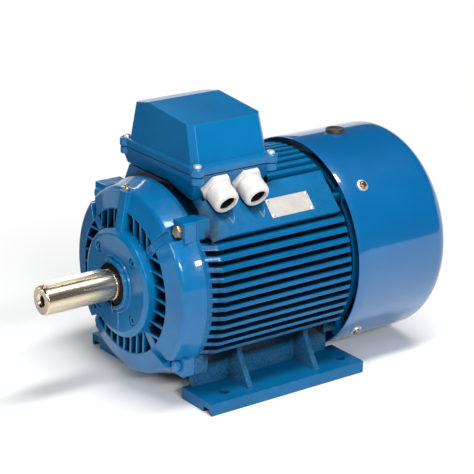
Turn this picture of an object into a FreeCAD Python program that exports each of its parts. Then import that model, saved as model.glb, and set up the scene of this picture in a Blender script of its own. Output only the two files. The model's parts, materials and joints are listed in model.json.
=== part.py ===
import FreeCAD, Part
import math
import os

# Foot-mounted, fan-cooled squirrel-cage motor in frame size 160 M.
# Millimetres. +X runs along the shaft towards the drive end, +Z is up, and the
# origin lies in the plane under the feet, midway between the four foot holes.
# Every piece is drawn about the shaft axis and lifted by shaftHeight when saved.

# ---- standard frame-size dimensions ----
shaftHeight = 160.0
footHoleSpacingY = 254.0
footHoleSpacingX = 210.0
holeToShoulder = 108.0
shaftDia = 42.0
shaftLength = 110.0
footHoleDia = 14.5
keyWidth = 12.0
keyHeight = 8.0
keyLength = 98.0
keySetback = 5.0
keywayDepth = 5.0
centreHoleDia = 14.0
centreHoleDepth = 36.0

# ---- frame casting ----
frameLength = 258.0
boreRadius = 120.0
barrelWall = 10.0
frameFlangeRadius = 142.0
frameFlangeLength = 6.0
finTipRadius = 152.0
finPitch = 13.8
finPairs = 6
finTip = 6.2
finRoot = 8.0
finTaperStart = 23.0
finTaperEnd = 4.0
padDistance = 152.0
padLow = 27.5
padHigh = 39.0
padSlope = 25.0
padDrop = 11.0
padRearGap = 17.0
bellyClearance = 24.0
lugHalf = 14.7
rearLugHalf = 11.5
lugDepth = 23.0
lugRound = 3.0
cowlRoom = 3.0
finRoomLow = 40.0
finRoomGap = 2.0
webGap = 1.0

# ---- feet ----
footThickness = 18.2
footOuter = 154.5
footInner = 98.0
footRear = 127.0
footFront = 145.0
footLip = 5.5
footReliefWidth = 15.0
footReliefDepth = 8.0
webThickness = 10.0
webFace = 91.0
webTop = -82.0
gussetThickness = 8.5
gussetFoot = 142.0
gussetTop = 113.0
gussetHeight = 64.0
gussetPlaces = (68.0, -50.0)

# ---- end shields ----
hubReach = 57.5
hubBehindShoulder = 9.5
hubFaceRadius = 69.5
hubRootRadius = 78.0
hubEdge = 3.5
rimInnerRadius = 103.0
rimOuterRadius = 134.4
rimInnerBack = 13.5
rimOuterBack = 23.2
rimRound = 9.0
rimEdge = 2.0
bellMidReach = 18.0
bellMidRadius = 136.5
recessDepth = 22.0
shieldWall = 8.0
shieldLugThickness = 18.0
fanLugThickness = 12.0
shieldTapDepth = 24.0
spigotDepth = 6.0
spigotClearance = 0.05
spigotWall = 8.0
rimDepth = 20.0
ribPitch = 16.3
sideRibPitch = 18.8
ribThickness = 3.4
ribDrop = 1.0
ribBite = 3.0
diagonalHalf = 7.0
diagonalDrop = 2.0
grooveRise = 8.0
ductHalf = 8.2
ductRootBack = 4.5
nippleSeat = 133.0
nippleBack = 19.5
nippleDia = 6.0
nippleThread = 7.0
nippleFlats = 9.0
nippleHex = 3.5
nippleRise = 9.5
nippleBore = 1.6
nippleRoom = 6.75
nippleSeatCut = 20.0
greaseHoleDia = 2.5
greaseChamber = 2.0
greaseHoleInset = 0.8
greaseHoleDrop = 2.0
drainHalf = 9.0
drainRise = 1.6
bearingWall = 9.0
noseRadius = 36.0
noseHeight = 6.5
noseStepRadius = 41.0
noseStepHeight = 2.5
noseRound = 1.5
boltCircle = 139.0
fanBoltCircle = 134.0
shieldBoltDia = 10.0
boltEngagement = 22.0
boltHeadHeight = 6.4
boltHeadFlats = 16.0
boltPocketRadius = 12.0
boltSeatRadius = 10.5
outerRingLip = 7.0
shaftGap = 1.2
fanRibs = 8
fanRibThickness = 4.6
tongueWidth = 20.0
tongueThickness = 11.5
tongueEnd = 9.0
holeClearance = 0.5
threadClearance = 0.05

# ---- bearings, size 6309 at both ends ----
bearingBore = 45.0
bearingOuter = 100.0
bearingWidth = 25.0
ballDia = 17.46
ringThickness = 9.0
raceClearance = 0.05
ballCount = 8
cageWidth = 21.0
cageThickness = 6.4
coverThickness = 6.0
coverSpigot = 4.5
coverRadius = 66.0
coverBoltCircle = 59.0
coverBoltDia = 8.0
coverHeadDia = 13.0
coverSocketFlats = 6.0
counterboreDia = 15.0
counterboreDepth = 9.0
springThickness = 1.6
springEdge = 0.4

# ---- rotor and windings ----
coreLength = 155.0
statorInner = 77.5
airGap = 0.5
coilLength = 40.0
coilInner = 84.0
coilOuter = 114.0
coreShaftDia = 56.0
endRingLength = 18.0
endRingInner = 50.0
sealOuter = 29.5
sealWidth = 6.0
sealGap = 0.5
shaftChamfer = 2.0

# ---- fan and cowl ----
fanSeatDia = 38.0
fanOffset = 14.0
fanHubRadius = 33.0
fanHubLength = 42.0
fanRadius = 122.0
fanBlades = 7
fanBladeThickness = 3.5
fanDiscThickness = 3.0
fanConeDepth = 18.0
fanTipSetback = 4.0
circlipThickness = 1.75
circlipDepth = 1.25
circlipClearance = 0.1
cowlRadius = 158.5
cowlSheet = 2.0
cowlOverlap = 4.0
cowlEdgeRadius = 25.0
cowlGap = 58.0
grilleRings = 6
grillePitch = 17.0
grilleSlot = 9.5
grilleFirst = 36.0
grilleSpokes = 6
spokeWidth = 10.0
cowlScrewBack = 34.0
cowlScrewDia = 6.0
cowlWasherDia = 18.0
cowlWasherThickness = 1.6
cowlHeadDia = 11.0
cowlHeadHeight = 3.6
cowlScrewLength = 18.0
plugDia = 29.0
plugStemDia = 22.0
plugHeight = 5.0
plugStation = 77.0

# ---- terminal box ----
boxCentreX = 64.7
boxSeat = 141.0
boxSplit = 166.0
boxHalfY = 90.0
boxHalfX = 67.0
boxBottomHalfX = 55.0
boxSeatLow = 18.0
boxSkirt = 125.0
boxSkirtInner = 57.0
boxSkirtOuter = 66.0
boxWall = 4.5
gasketThickness = 1.5
lidFlange = 11.5
lidBead = 2.5
lidLugRadius = 10.0
lidScrewX = 62.2
lidScrewY = 87.0
lidTopLow = 232.4
lidTopHigh = 242.2
lidTopEdgeY = 66.8
lidRidgeY = -34.6
lidBackY = -72.2
lidBackTop = 234.0
lidFootY = 86.0
lidTopHalfX = 61.1
lidFootHalfX = 64.5
lidBevel = 8.0
lidBevelLoss = 0.6
lidScrewDia = 6.0
lidSeatRadius = 6.5
lidHeight = 80.0
pedestalTop = 137.5
pedestalLowY = -90.0
pedestalHighY = 14.0
pedestalFront = 53.0
pedestalRear = 50.0
leadHoleX = 42.0
leadHoleY = 28.0
leadHoleShift = 28.0
seatBoltX = 40.0
seatBoltY = 35.0
seatBoltDia = 6.0
seatBoltLength = 20.0
seatBossHeight = 8.0
seatBossRadius = 7.0
lidScrewLength = 20.0
rimBoss = 10.0
panHeadRatio = 1.85
panHeadRise = 0.7

# ---- terminal board ----
boardX = 80.0
boardY = 44.0
boardThickness = 8.0
boardLift = 12.0
boardPostRadius = 3.5
studDia = 6.0
studPitchX = 27.0
studPitchY = 24.0
studRise = 16.0
linkThickness = 1.5
earthDia = 6.0
earthDepth = 3.0
linkWidth = 10.0
nutFlats = 10.0
nutHeight = 5.0
barrierHeight = 6.0

# ---- cable glands, in the slanted wall ----
glandTilt = 30.3
glandSpacing = 52.0
glandHeight = 145.0
glandFlats = 42.0
glandHexLength = 9.0
glandCapRadius = 19.5
glandCapLength = 27.0
glandThreadDia = 32.0
glandBoreRadius = 10.5
glandSealRadius = 9.5
glandSealWall = 3.0
glandSealDepth = 4.0
glandCollarRadius = 18.0
glandCollarLength = 12.0
glandCapGap = 0.3
glandCapRound = 6.0
glandLip = 4.0
glandFit = 0.1
glandThreadLength = 8.0
glandRelief = 1.5

# ---- nameplate ----
plateLength = 74.0
plateHeight = 29.4
plateThickness = 0.8
plateCentreX = -16.5
plateShift = 1.5
rivetDia = 3.0
rivetInset = 3.2
rivetHead = 1.1
rivetDepth = 6.0

# ---- places worked out from the dimensions above ----
shoulderX = footHoleSpacingX / 2 + holeToShoulder
shaftEndX = shoulderX + shaftLength
hubFaceX = shoulderX - hubBehindShoulder
frameFront = hubFaceX - hubReach
frameRear = frameFront - frameLength
frameMid = (frameFront + frameRear) / 2
hubFaceRearX = frameRear - hubReach
coreFront = frameMid + coreLength / 2
coreRear = coreFront - coreLength
barrelRadius = boreRadius + barrelWall
sealSeatX = hubFaceRearX - sealGap
floorZ = -shaftHeight
bearingRadius = bearingOuter / 2
journalRadius = bearingBore / 2
ballPitchRadius = (bearingBore + bearingOuter) / 4
bearingFrontX = hubFaceX - bearingWall
bearingBackX = bearingFrontX - bearingWidth
fanBearingFrontX = hubFaceRearX + bearingWall
fanBearingBackX = fanBearingFrontX + bearingWidth
housingBack = bearingWidth + bearingWall + coverSpigot
fanFrontX = hubFaceRearX - fanOffset
fanRearX = fanFrontX - fanHubLength
cowlFront = frameRear + cowlOverlap
cowlRear = fanRearX - cowlGap
cowlScrewX = frameRear - cowlScrewBack
plugX = cowlFront - plugStation
seatMidY = (pedestalLowY + pedestalHighY) / 2
rimX = hubFaceX - rimOuterBack
ribX = hubFaceX - rimInnerBack
recessFloorX = ribX - recessDepth
boltHeadSeatX = frameFront + shieldLugThickness
nippleX = hubFaceX - nippleBack
halfRoot2 = math.sqrt(0.5)


def V(x, y, z):
    return FreeCAD.Vector(x, y, z)


# ---- shape helpers ----
def save(name, shape):
    lifted = shape.copy()
    lifted.translate(V(0, 0, shaftHeight))
    lifted.exportStep("parts/" + name + ".step")
    print(name, len(lifted.Solids), "valid" if lifted.isValid() else "NOT VALID", round(lifted.Volume))


def box(x0, x1, y0, y1, z0, z1):
    return Part.makeBox(x1 - x0, y1 - y0, z1 - z0, V(x0, y0, z0))


def rod(x0, x1, radius, y=0.0, z=0.0):
    return Part.makeCylinder(radius, x1 - x0, V(x0, y, z), V(1, 0, 0))


def tube(x0, x1, outer, inner, y=0.0, z=0.0):
    return rod(x0, x1, outer, y, z).cut(rod(x0 - 1, x1 + 1, inner, y, z))


def face(points):
    return Part.Face(Part.makePolygon(points + [points[0]]))


def turned(points):
    """Solid of revolution about the shaft axis from (x, radius) points."""
    return face([V(x, 0, r) for x, r in points]).revolve(V(0, 0, 0), V(1, 0, 0), 360)


def ringEdges(shape, rings):
    """Edges of a turned shape that are circles at the given (x, radius) places."""
    circles = [e for e in shape.Edges if e.Curve.TypeId == "Part::GeomCircle"]
    return [e for e in circles for x, r in rings
            if abs(e.Curve.Radius - r) < 0.01 and abs(e.Curve.Center.x - x) < 0.01]


def prismX(points, x0, x1):
    return face([V(x0, y, z) for y, z in points]).extrude(V(x1 - x0, 0, 0))


def prismY(points, y0, y1):
    return face([V(x, y0, z) for x, z in points]).extrude(V(0, y1 - y0, 0))


def fused(shapes):
    return shapes[0].fuse(shapes[1:]).removeSplitter() if len(shapes) > 1 else shapes[0]


def turnedCopy(shape, angle):
    copy = shape.copy()
    copy.rotate(V(0, 0, 0), V(1, 0, 0), angle)
    return copy


def around(shape, count, first=0.0):
    return [turnedCopy(shape, first + 360.0 * i / count) for i in range(count)]


def hexRod(flats, height, centre, axis):
    """Hexagonal prism that starts at centre and grows along axis."""
    radius = flats / math.sqrt(3)
    corners = [V(radius * math.cos(math.radians(60 * i)), radius * math.sin(math.radians(60 * i)), 0)
               for i in range(6)]
    prism = face(corners).extrude(V(0, 0, height))
    prism.Placement = FreeCAD.Placement(centre, FreeCAD.Rotation(V(0, 0, 1), axis))
    return prism


def atCorners(shape):
    """Four copies at 45 degrees around the shaft axis; shape lies on +Z."""
    return around(shape, 4, 45.0)


# ---- frame casting with fins, pads, pedestal and feet ----
def finEnvelope(radius, rear):
    return turned([(rear, 0), (rear, radius - 8), (rear + 5, radius), (frameFront - finTaperStart, radius),
                   (frameFront - finTaperEnd, frameFlangeRadius), (frameFront, frameFlangeRadius),
                   (frameFront, 0)])


def finPlates():
    plates = []
    reach = finTipRadius + 5
    for i in range(-finPairs, finPairs):
        level = (i + 0.5) * finPitch
        halfTip, halfRoot = finTip / 2, finRoot / 2
        across = [(-reach, level - halfTip), (0, level - halfRoot), (reach, level - halfTip),
                  (reach, level + halfTip), (0, level + halfRoot), (-reach, level + halfTip)]
        plates.append(prismX(across, frameRear, frameFront))
        upright = [(y, z) for z, y in across]
        plates.append(prismX(upright, frameRear, frameFront))
    return plates


def sidePads():
    """Flat pads at 45 degrees above the side fins, one on each side, that slope down to the front lugs."""
    rear, front = frameRear + padRearGap, frameFront - lugDepth
    profile = [(rear, boreRadius), (rear, padDistance), (front - padSlope, padDistance),
               (front, padDistance - padDrop), (front, boreRadius)]
    return [turnedCopy(prismY(profile, -padHigh, padLow), -45), turnedCopy(prismY(profile, -padLow, padHigh), 45)]


def feet():
    pieces = []
    top = floorZ + footThickness
    for side in (1, -1):
        def across(a, b):
            return (side * a, side * b) if side > 0 else (side * b, side * a)
        rail = box(-footRear, footFront, *across(webFace - webThickness, footOuter), floorZ, top)
        relief = box(-footRear - 1, footFront + 1,
                     *across(footOuter - footLip - footReliefWidth, footOuter - footLip),
                     floorZ - 1, floorZ + footReliefDepth)
        rail = rail.cut(relief)
        web = box(cowlFront + webGap, footFront - 12, *across(webFace - webThickness, webFace), floorZ, webTop)
        pieces += [rail, web]
        for place in gussetPlaces:
            outline = [(side * (webFace - 2), floorZ + 2), (side * gussetFoot, floorZ + 2),
                       (side * gussetFoot, top), (side * gussetTop, floorZ + gussetHeight),
                       (side * gussetTop, webTop + 6), (side * (webFace - 2), webTop + 6)]
            pieces.append(prismX(outline, place - gussetThickness / 2, place + gussetThickness / 2))
    return pieces


def squareLug(x0, x1, circle, half):
    """Square boss round the shield bolt of the +Y +Z corner, its outer edges rounded."""
    centre = circle * halfRoot2
    low, high = centre - half, centre + half
    lug = box(x0, x1, low, high, low, high)
    outer = [e for e in lug.Edges if e.BoundBox.XLength > lugRound
             and max(e.CenterOfMass.y, e.CenterOfMass.z) > high - lugRound]
    return lug.makeFillet(lugRound, outer)


def frameHousing():
    envelope = finEnvelope(finTipRadius, frameRear + 8)
    fins = fused(finPlates()).common(envelope)
    far = 2 * finTipRadius
    belly = box(frameRear - 1, frameFront + 1, -webFace + 1, webFace - 1, -far, floorZ + bellyClearance)
    roomRear = boxCentreX - lidScrewX - lidLugRadius - finRoomGap
    boxRoom = box(roomRear, frameFront + 1, -boxHalfY, boxHalfY - finRoomGap, finRoomLow, far)
    fins = fins.cut([belly, boxRoom])
    barrel = rod(frameRear, frameFront, barrelRadius)
    front = rod(frameFront - frameFlangeLength, frameFront, frameFlangeRadius)
    rear = rod(frameRear, frameRear + frameFlangeLength, frameFlangeRadius - 3)
    x0, x1 = boxCentreX - pedestalRear, boxCentreX + pedestalFront
    pedestal = box(x0, x1, pedestalLowY, pedestalHighY, 80, pedestalTop)
    brow = prismY([(x0 + 40, 80), (x0 + 40, pedestalTop), (x1 + 3, pedestalTop), (frameFront - 12, 105),
                   (frameFront - 12, 80)], pedestalLowY, boxSeatLow + 2)
    lugs = around(squareLug(frameFront - lugDepth, frameFront, boltCircle, lugHalf), 4)
    lugs += around(squareLug(frameRear, frameRear + lugDepth, fanBoltCircle, rearLugHalf), 4)
    carcass = fused([barrel, front, rear, pedestal, brow] + sidePads() + lugs + feet())
    body = fused([carcass, fins]).cut(rod(frameRear - 1, frameFront + 1, boreRadius))
    tapRadius = shieldBoltDia / 2 + threadClearance
    cuts = atCorners(rod(frameFront - shieldTapDepth, frameFront + 1, tapRadius, 0, boltCircle))
    cuts += atCorners(rod(frameRear - 1, frameRear + shieldTapDepth, tapRadius, 0, fanBoltCircle))
    cuts += [upright(x, y, pedestalTop - seatBoltLength, pedestalTop + 1, seatBoltDia / 2 + threadClearance)
             for x, y in seatBoltPlaces()]
    cuts += rivetHoles()
    cuts += glandRod(0, glandHexLength + glandRelief, glandFlats / math.sqrt(3) + glandRelief)
    cuts += glandRod(0, 2 * (glandHexLength + glandCapLength), glandCapRadius + glandRelief)
    for x in (-footHoleSpacingX / 2, footHoleSpacingX / 2):
        for y in (-footHoleSpacingY / 2, footHoleSpacingY / 2):
            cuts.append(Part.makeCylinder(footHoleDia / 2, footThickness + 2, V(x, y, floorZ - 1)))
    cuts.append(leadHole(boreRadius - 10, pedestalTop + 1))
    return body.cut(cuts)


def leadHole(z0, z1):
    """Opening for the winding leads, over the drive-end coils."""
    x = boxCentreX + leadHoleShift
    return box(x - leadHoleX / 2, x + leadHoleX / 2, seatMidY - leadHoleY / 2, seatMidY + leadHoleY / 2,
               z0, z1)


# ---- end shields ----
def shieldBell():
    """Outside of the drive-end shield: spigot, flared bell, coned rim, recess, hub and nose."""
    face0 = hubFaceX
    spigot = boreRadius - spigotClearance
    points = [
        (rimX, rimOuterRadius), (ribX, rimInnerRadius), (recessFloorX, rimInnerRadius),
        (recessFloorX, hubRootRadius), (face0 - hubEdge, hubRootRadius), (face0 - 1, hubFaceRadius + 3.5),
        (face0, hubFaceRadius), (face0, noseStepRadius), (face0 + noseStepHeight, noseStepRadius),
        (face0 + noseStepHeight, noseRadius), (face0 + noseHeight, noseRadius), (face0 + noseHeight, 0),
        (frameFront - spigotDepth, 0), (frameFront - spigotDepth, spigot), (frameFront, spigot),
        (frameFront, frameFlangeRadius)]
    corners = [V(x, 0, r) for x, r in points]
    flare = Part.Arc(corners[-1], V(frameFront + bellMidReach, 0, bellMidRadius), corners[0]).toShape()
    edges = [Part.makeLine(a, b) for a, b in zip(corners, corners[1:])] + [flare]
    bell = Part.Face(Part.Wire(edges)).revolve(V(0, 0, 0), V(1, 0, 0), 360)
    bell = bell.makeFillet(rimRound, ringEdges(bell, [(rimX, rimOuterRadius)]))
    bell = bell.makeFillet(rimEdge, ringEdges(bell, [(ribX, rimInnerRadius)]))
    return bell.makeFillet(noseRound, ringEdges(bell, [(face0 + noseHeight, noseRadius)]))


def shieldInside():
    """Room inside the drive-end shield: coil space, bearing seat, shaft passage and seal room."""
    face0 = hubFaceX
    inner = journalRadius + shaftGap
    sealRoom = sealOuter + 1.5
    lip = bearingRadius - outerRingLip
    chamberX = bearingFrontX + greaseChamber
    wall = boreRadius - spigotWall
    return turned([
        (frameFront - spigotDepth - 1, 0), (frameFront - spigotDepth - 1, wall), (frameFront + 4, wall),
        (rimX - rimDepth, rimOuterRadius - shieldWall), (recessFloorX - shieldWall, rimInnerRadius + 3),
        (recessFloorX - shieldWall, hubRootRadius + 4), (face0 - housingBack, coverRadius + 3),
        (face0 - housingBack, bearingRadius), (bearingFrontX, bearingRadius), (bearingFrontX, lip),
        (chamberX, lip), (chamberX, inner), (face0 - 0.5, inner), (face0 - 0.5, sealRoom),
        (face0 + noseHeight + 1, sealRoom), (face0 + noseHeight + 1, 0)])


def shieldRibs():
    """Ribs of the recess: a parallel set in each quarter, and a broad web on each diagonal."""
    far = rimInnerRadius + ribBite
    back, front = recessFloorX - 1, ribX - ribDrop
    quarter = prismX([(0, 0), (far, far), (-far, far)], back, front)
    top = [side * (i + 0.5) * ribPitch for side in (-1, 1) for i in (1, 2, 3)]
    bottom = [i * ribPitch for i in range(-3, 4)]
    sides = [i * sideRibPitch for i in range(-3, 4)]
    ribs = []
    for angle, levels in ((0, top), (90, sides), (180, bottom), (270, sides)):
        plates = [box(back, front, y - ribThickness / 2, y + ribThickness / 2, 0, far) for y in levels]
        ribs += [turnedCopy(plate.common(quarter), angle) for plate in plates]
    ribs += atCorners(box(back, ribX - diagonalDrop, -diagonalHalf, diagonalHalf, 0, far))
    return fused(ribs).common(tube(back, front, far, hubRootRadius - ribBite))


def greaseDuct():
    """Raised duct from the hub up to the seat of the grease nipple, at the top of the rim."""
    rootX = hubFaceX - ductRootBack
    low = hubRootRadius - ribBite
    return prismY([(recessFloorX - 1, low), (rootX, low), (rootX, hubRootRadius), (ribX, nippleSeat),
                   (recessFloorX - 1, nippleSeat)], -ductHalf, ductHalf)


def greasePassage():
    """Seat, thread and slanted hole that lead grease from the nipple to the front of the bearing."""
    seat = box(nippleX - nippleRoom, hubFaceX, -ductHalf, ductHalf, nippleSeat, nippleSeat + nippleSeatCut)
    thread = upright(nippleX, 0, nippleSeat - nippleThread, nippleSeat + 1, nippleDia / 2 + threadClearance)
    start = V(nippleX, 0, nippleSeat)
    end = V(bearingFrontX + greaseChamber + greaseHoleInset, 0, bearingRadius - outerRingLip - greaseHoleDrop)
    hole = Part.makeCylinder(greaseHoleDia / 2, (end - start).Length, start, end - start)
    return [seat, thread, hole]


def rimGroove():
    """Groove across the rim from the diagonal web to the bolt pocket, drawn on +Z."""
    front, back = ribX - diagonalDrop, boltHeadSeatX + grooveRise
    low, high = rimInnerRadius - 1, boltCircle + boltPocketRadius
    return prismY([(front, low), (front, rimInnerRadius), (back, boltCircle - boltPocketRadius), (back, high),
                   (hubFaceX, high), (hubFaceX, low)], -diagonalHalf, diagonalHalf)


def coverBoltHoles(x0, x1):
    return atCorners(rod(x0, x1, coverBoltDia / 2 + holeClearance / 2, 0, coverBoltCircle))


def shieldDriveEnd():
    lug = squareLug(frameFront, boltHeadSeatX, boltCircle, lugHalf)
    drain = box(hubFaceX - 1, hubFaceX + drainRise, -drainHalf, drainHalf, 3 - hubFaceRadius, 2 - noseRadius)
    body = fused([shieldBell(), shieldRibs(), greaseDuct(), drain] + around(lug, 4))
    cuts = [shieldInside()] + greasePassage() + atCorners(rimGroove())
    cuts += atCorners(rod(boltHeadSeatX, hubFaceX, boltPocketRadius, 0, boltCircle))
    cuts += atCorners(rod(frameFront - 1, boltHeadSeatX + 1, shieldBoltDia / 2 + holeClearance, 0, boltCircle))
    cuts += coverBoltHoles(hubFaceX - housingBack - 1, hubFaceX + 1)
    cuts += atCorners(rod(hubFaceX - counterboreDepth, hubFaceX + 1, counterboreDia / 2, 0, coverBoltCircle))
    return body.cut(cuts)


def greaseNipple():
    """Grease nipple: thread, hexagon, neck and ball head, with a hole right through."""
    top = nippleSeat + nippleRise
    foot = nippleSeat - nippleThread
    parts = [upright(nippleX, 0, foot, nippleSeat, nippleDia / 2),
             hexRod(nippleFlats, nippleHex, V(nippleX, 0, nippleSeat), V(0, 0, 1)),
             upright(nippleX, 0, nippleSeat, top - nippleDia / 2, nippleDia / 3),
             Part.makeSphere(nippleDia / 2, V(nippleX, 0, top - nippleDia / 2))]
    return fused(parts).cut(upright(nippleX, 0, foot - 1, top + 1, nippleBore / 2))


def shieldFanEnd():
    """Fan-end shield: coned wall with eight ribs, hub, and four tongues that carry the cowl."""
    face0 = hubFaceRearX
    inner = journalRadius + shaftGap
    lugBack = frameRear - fanLugThickness
    hollow = [(face0 + housingBack, bearingRadius), (face0 + housingBack, coverRadius + 3),
              (face0 + 30, hubRootRadius + 8), (frameRear - 8, boreRadius - 8),
              (frameRear + spigotDepth, boreRadius - 8)]
    body = turned([
        (frameRear, frameFlangeRadius - cowlRoom), (lugBack, frameFlangeRadius - cowlRoom),
        (lugBack - 6, frameFlangeRadius - 12), (face0 + 22, hubRootRadius + 14),
        (face0 + 14, hubRootRadius), (face0, hubFaceRadius), (face0, inner),
        (fanBearingFrontX - 2, inner), (fanBearingFrontX - 2, bearingRadius - outerRingLip),
        (fanBearingFrontX, bearingRadius - outerRingLip), (fanBearingFrontX, bearingRadius)] + hollow + [
        (frameRear + spigotDepth, boreRadius - spigotClearance), (frameRear, boreRadius - spigotClearance)])
    ribBack = lugBack - 6
    rib = prismY([(ribBack, frameFlangeRadius - 14), (lugBack, hubRootRadius + 10),
                  (face0 + 26, hubFaceRadius - 4), (face0 + 4, hubFaceRadius - 4),
                  (face0 + 4, hubFaceRadius + 2)], -fanRibThickness / 2, fanRibThickness / 2)
    inside = turned([(frameRear + spigotDepth, 0), (face0 + 2, 0), (face0 + 2, bearingRadius + 4),
                     (hollow[0][0], bearingRadius + 4)] + hollow[1:])
    ribs = [r.cut(inside) for r in around(rib, fanRibs, 180.0 / fanRibs)]
    seat = cowlRadius - cowlSheet
    tongue = box(cowlScrewX - tongueEnd, frameRear, -tongueWidth / 2, tongueWidth / 2,
                 seat - tongueThickness, seat)
    riser = box(lugBack, frameRear, -tongueWidth / 2, tongueWidth / 2, barrelRadius, seat)
    tongue = tongue.fuse(riser).common(rod(cowlScrewX - tongueEnd - 1, frameRear + 1, seat))
    lug = squareLug(lugBack, frameRear, fanBoltCircle, rearLugHalf)
    lug = lug.cut(rod(lugBack - 1, frameRear + 1, boreRadius + 2))
    body = fused([body] + ribs + atCorners(tongue) + around(lug, 4))
    cuts = atCorners(rod(lugBack - 12, frameRear + 1, shieldBoltDia / 2 + holeClearance, 0, fanBoltCircle))
    cuts += atCorners(rod(lugBack - 12, lugBack, boltSeatRadius, 0, fanBoltCircle))
    cuts += coverBoltHoles(face0 - 1, face0 + housingBack + 1)
    cuts += atCorners(Part.makeCylinder(cowlScrewDia / 2 + threadClearance, 2 * tongueThickness,
                                        V(cowlScrewX, 0, seat - 1.5 * tongueThickness)))
    return body.cut(cuts)


# ---- rotor ----
def shaftSolid():
    jr = journalRadius
    cr = coreShaftDia / 2
    fr = fanSeatDia / 2
    er = shaftDia / 2
    ch = shaftChamfer
    grooveX = fanRearX - circlipClearance
    points = [
        (fanRearX - 8, 0), (fanRearX - 8, fr - ch), (fanRearX - 8 + ch, fr),
        (grooveX - circlipThickness, fr), (grooveX - circlipThickness, fr - circlipDepth),
        (grooveX, fr - circlipDepth), (grooveX, fr), (fanFrontX, fr), (fanFrontX, jr),
        (fanBearingBackX, jr), (fanBearingBackX, cr), (bearingBackX, cr), (bearingBackX, jr),
        (shoulderX, jr), (shoulderX, er), (shaftEndX - ch, er), (shaftEndX, er - ch), (shaftEndX, 0)]
    body = turned(points)
    keyTop = er - keywayDepth
    x0 = shaftEndX - keySetback - keyLength
    slot = box(x0 + keyWidth / 2, shaftEndX + 1, -keyWidth / 2, keyWidth / 2, keyTop, er + 2)
    slotEnd = Part.makeCylinder(keyWidth / 2, 10, V(x0 + keyWidth / 2, 0, keyTop))
    centre = rod(shaftEndX - centreHoleDepth, shaftEndX + 1, centreHoleDia / 2)
    mouth = turned([(shaftEndX - 3, 0), (shaftEndX - 3, centreHoleDia / 2),
                    (shaftEndX + 0.1, centreHoleDia / 2 + 3.1), (shaftEndX + 0.1, 0)])
    return body.cut([slot, slotEnd, centre, mouth])


def keySolid():
    base = shaftDia / 2 - keywayDepth
    x0 = shaftEndX - keySetback - keyLength
    radius = keyWidth / 2
    bar = box(x0 + radius, x0 + keyLength - radius, -radius, radius, base, base + keyHeight)
    ends = [Part.makeCylinder(radius, keyHeight, V(x, 0, base))
            for x in (x0 + radius, x0 + keyLength - radius)]
    return fused([bar] + ends)


def rotorCore():
    return tube(coreRear, coreFront, statorInner - airGap, coreShaftDia / 2)


def endRings():
    rings = []
    for start, sign in ((coreFront, 1), (coreRear, -1)):
        ring = tube(min(start, start + sign * endRingLength), max(start, start + sign * endRingLength),
                    statorInner - airGap - 1, endRingInner)
        blade = box(0, 16, -2, 2, endRingInner + 4, statorInner - airGap - 4)
        outside = start + sign * endRingLength
        blade.translate(V(outside - 0.5 if sign > 0 else outside - 15.5, 0, 0))
        rings.append(fused([ring] + around(blade, 8)))
    return Part.makeCompound(rings)


def bearingRings(front):
    """Outer and inner ring and ball row of one bearing that starts at x = front."""
    mid = front + bearingWidth / 2
    groove = Part.makeTorus(ballPitchRadius, ballDia / 2 + raceClearance, V(mid, 0, 0), V(1, 0, 0))
    outer = tube(front, front + bearingWidth, bearingRadius, bearingRadius - ringThickness)
    inner = tube(front, front + bearingWidth, journalRadius + ringThickness, journalRadius)
    return outer.cut(groove), inner.cut(groove)


def ballRow(front):
    """Balls and the moulded cage between them, as one loose row."""
    mid = front + bearingWidth / 2
    half = cageWidth / 2
    cage = tube(mid - half, mid + half, ballPitchRadius + cageThickness / 2,
                ballPitchRadius - cageThickness / 2)
    ball = Part.makeSphere(ballDia / 2, V(mid, 0, ballPitchRadius))
    pocket = Part.makeSphere(ballDia / 2 + raceClearance, V(mid, 0, ballPitchRadius))
    return Part.makeCompound(around(ball, ballCount)), cage.cut(around(pocket, ballCount))


def fan():
    """Radial fan: hub, coned disc and straight blades that work in either direction."""
    inside = fanHubRadius - 3
    discX = fanFrontX - fanConeDepth
    tipX = fanFrontX - fanTipSetback
    disc = turned([(discX, inside), (discX + fanDiscThickness, inside),
                   (tipX + fanDiscThickness, fanRadius), (tipX, fanRadius)])
    blade = prismY([(discX, inside), (tipX + 1, fanRadius - 1), (fanRearX + 2, fanRadius - 1),
                    (fanRearX + 6, inside)], -fanBladeThickness / 2, fanBladeThickness / 2)
    body = fused([rod(fanRearX, fanFrontX, fanHubRadius), disc] + around(blade, fanBlades))
    return body.cut(rod(fanRearX - 1, fanFrontX + 1, fanSeatDia / 2))


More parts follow.
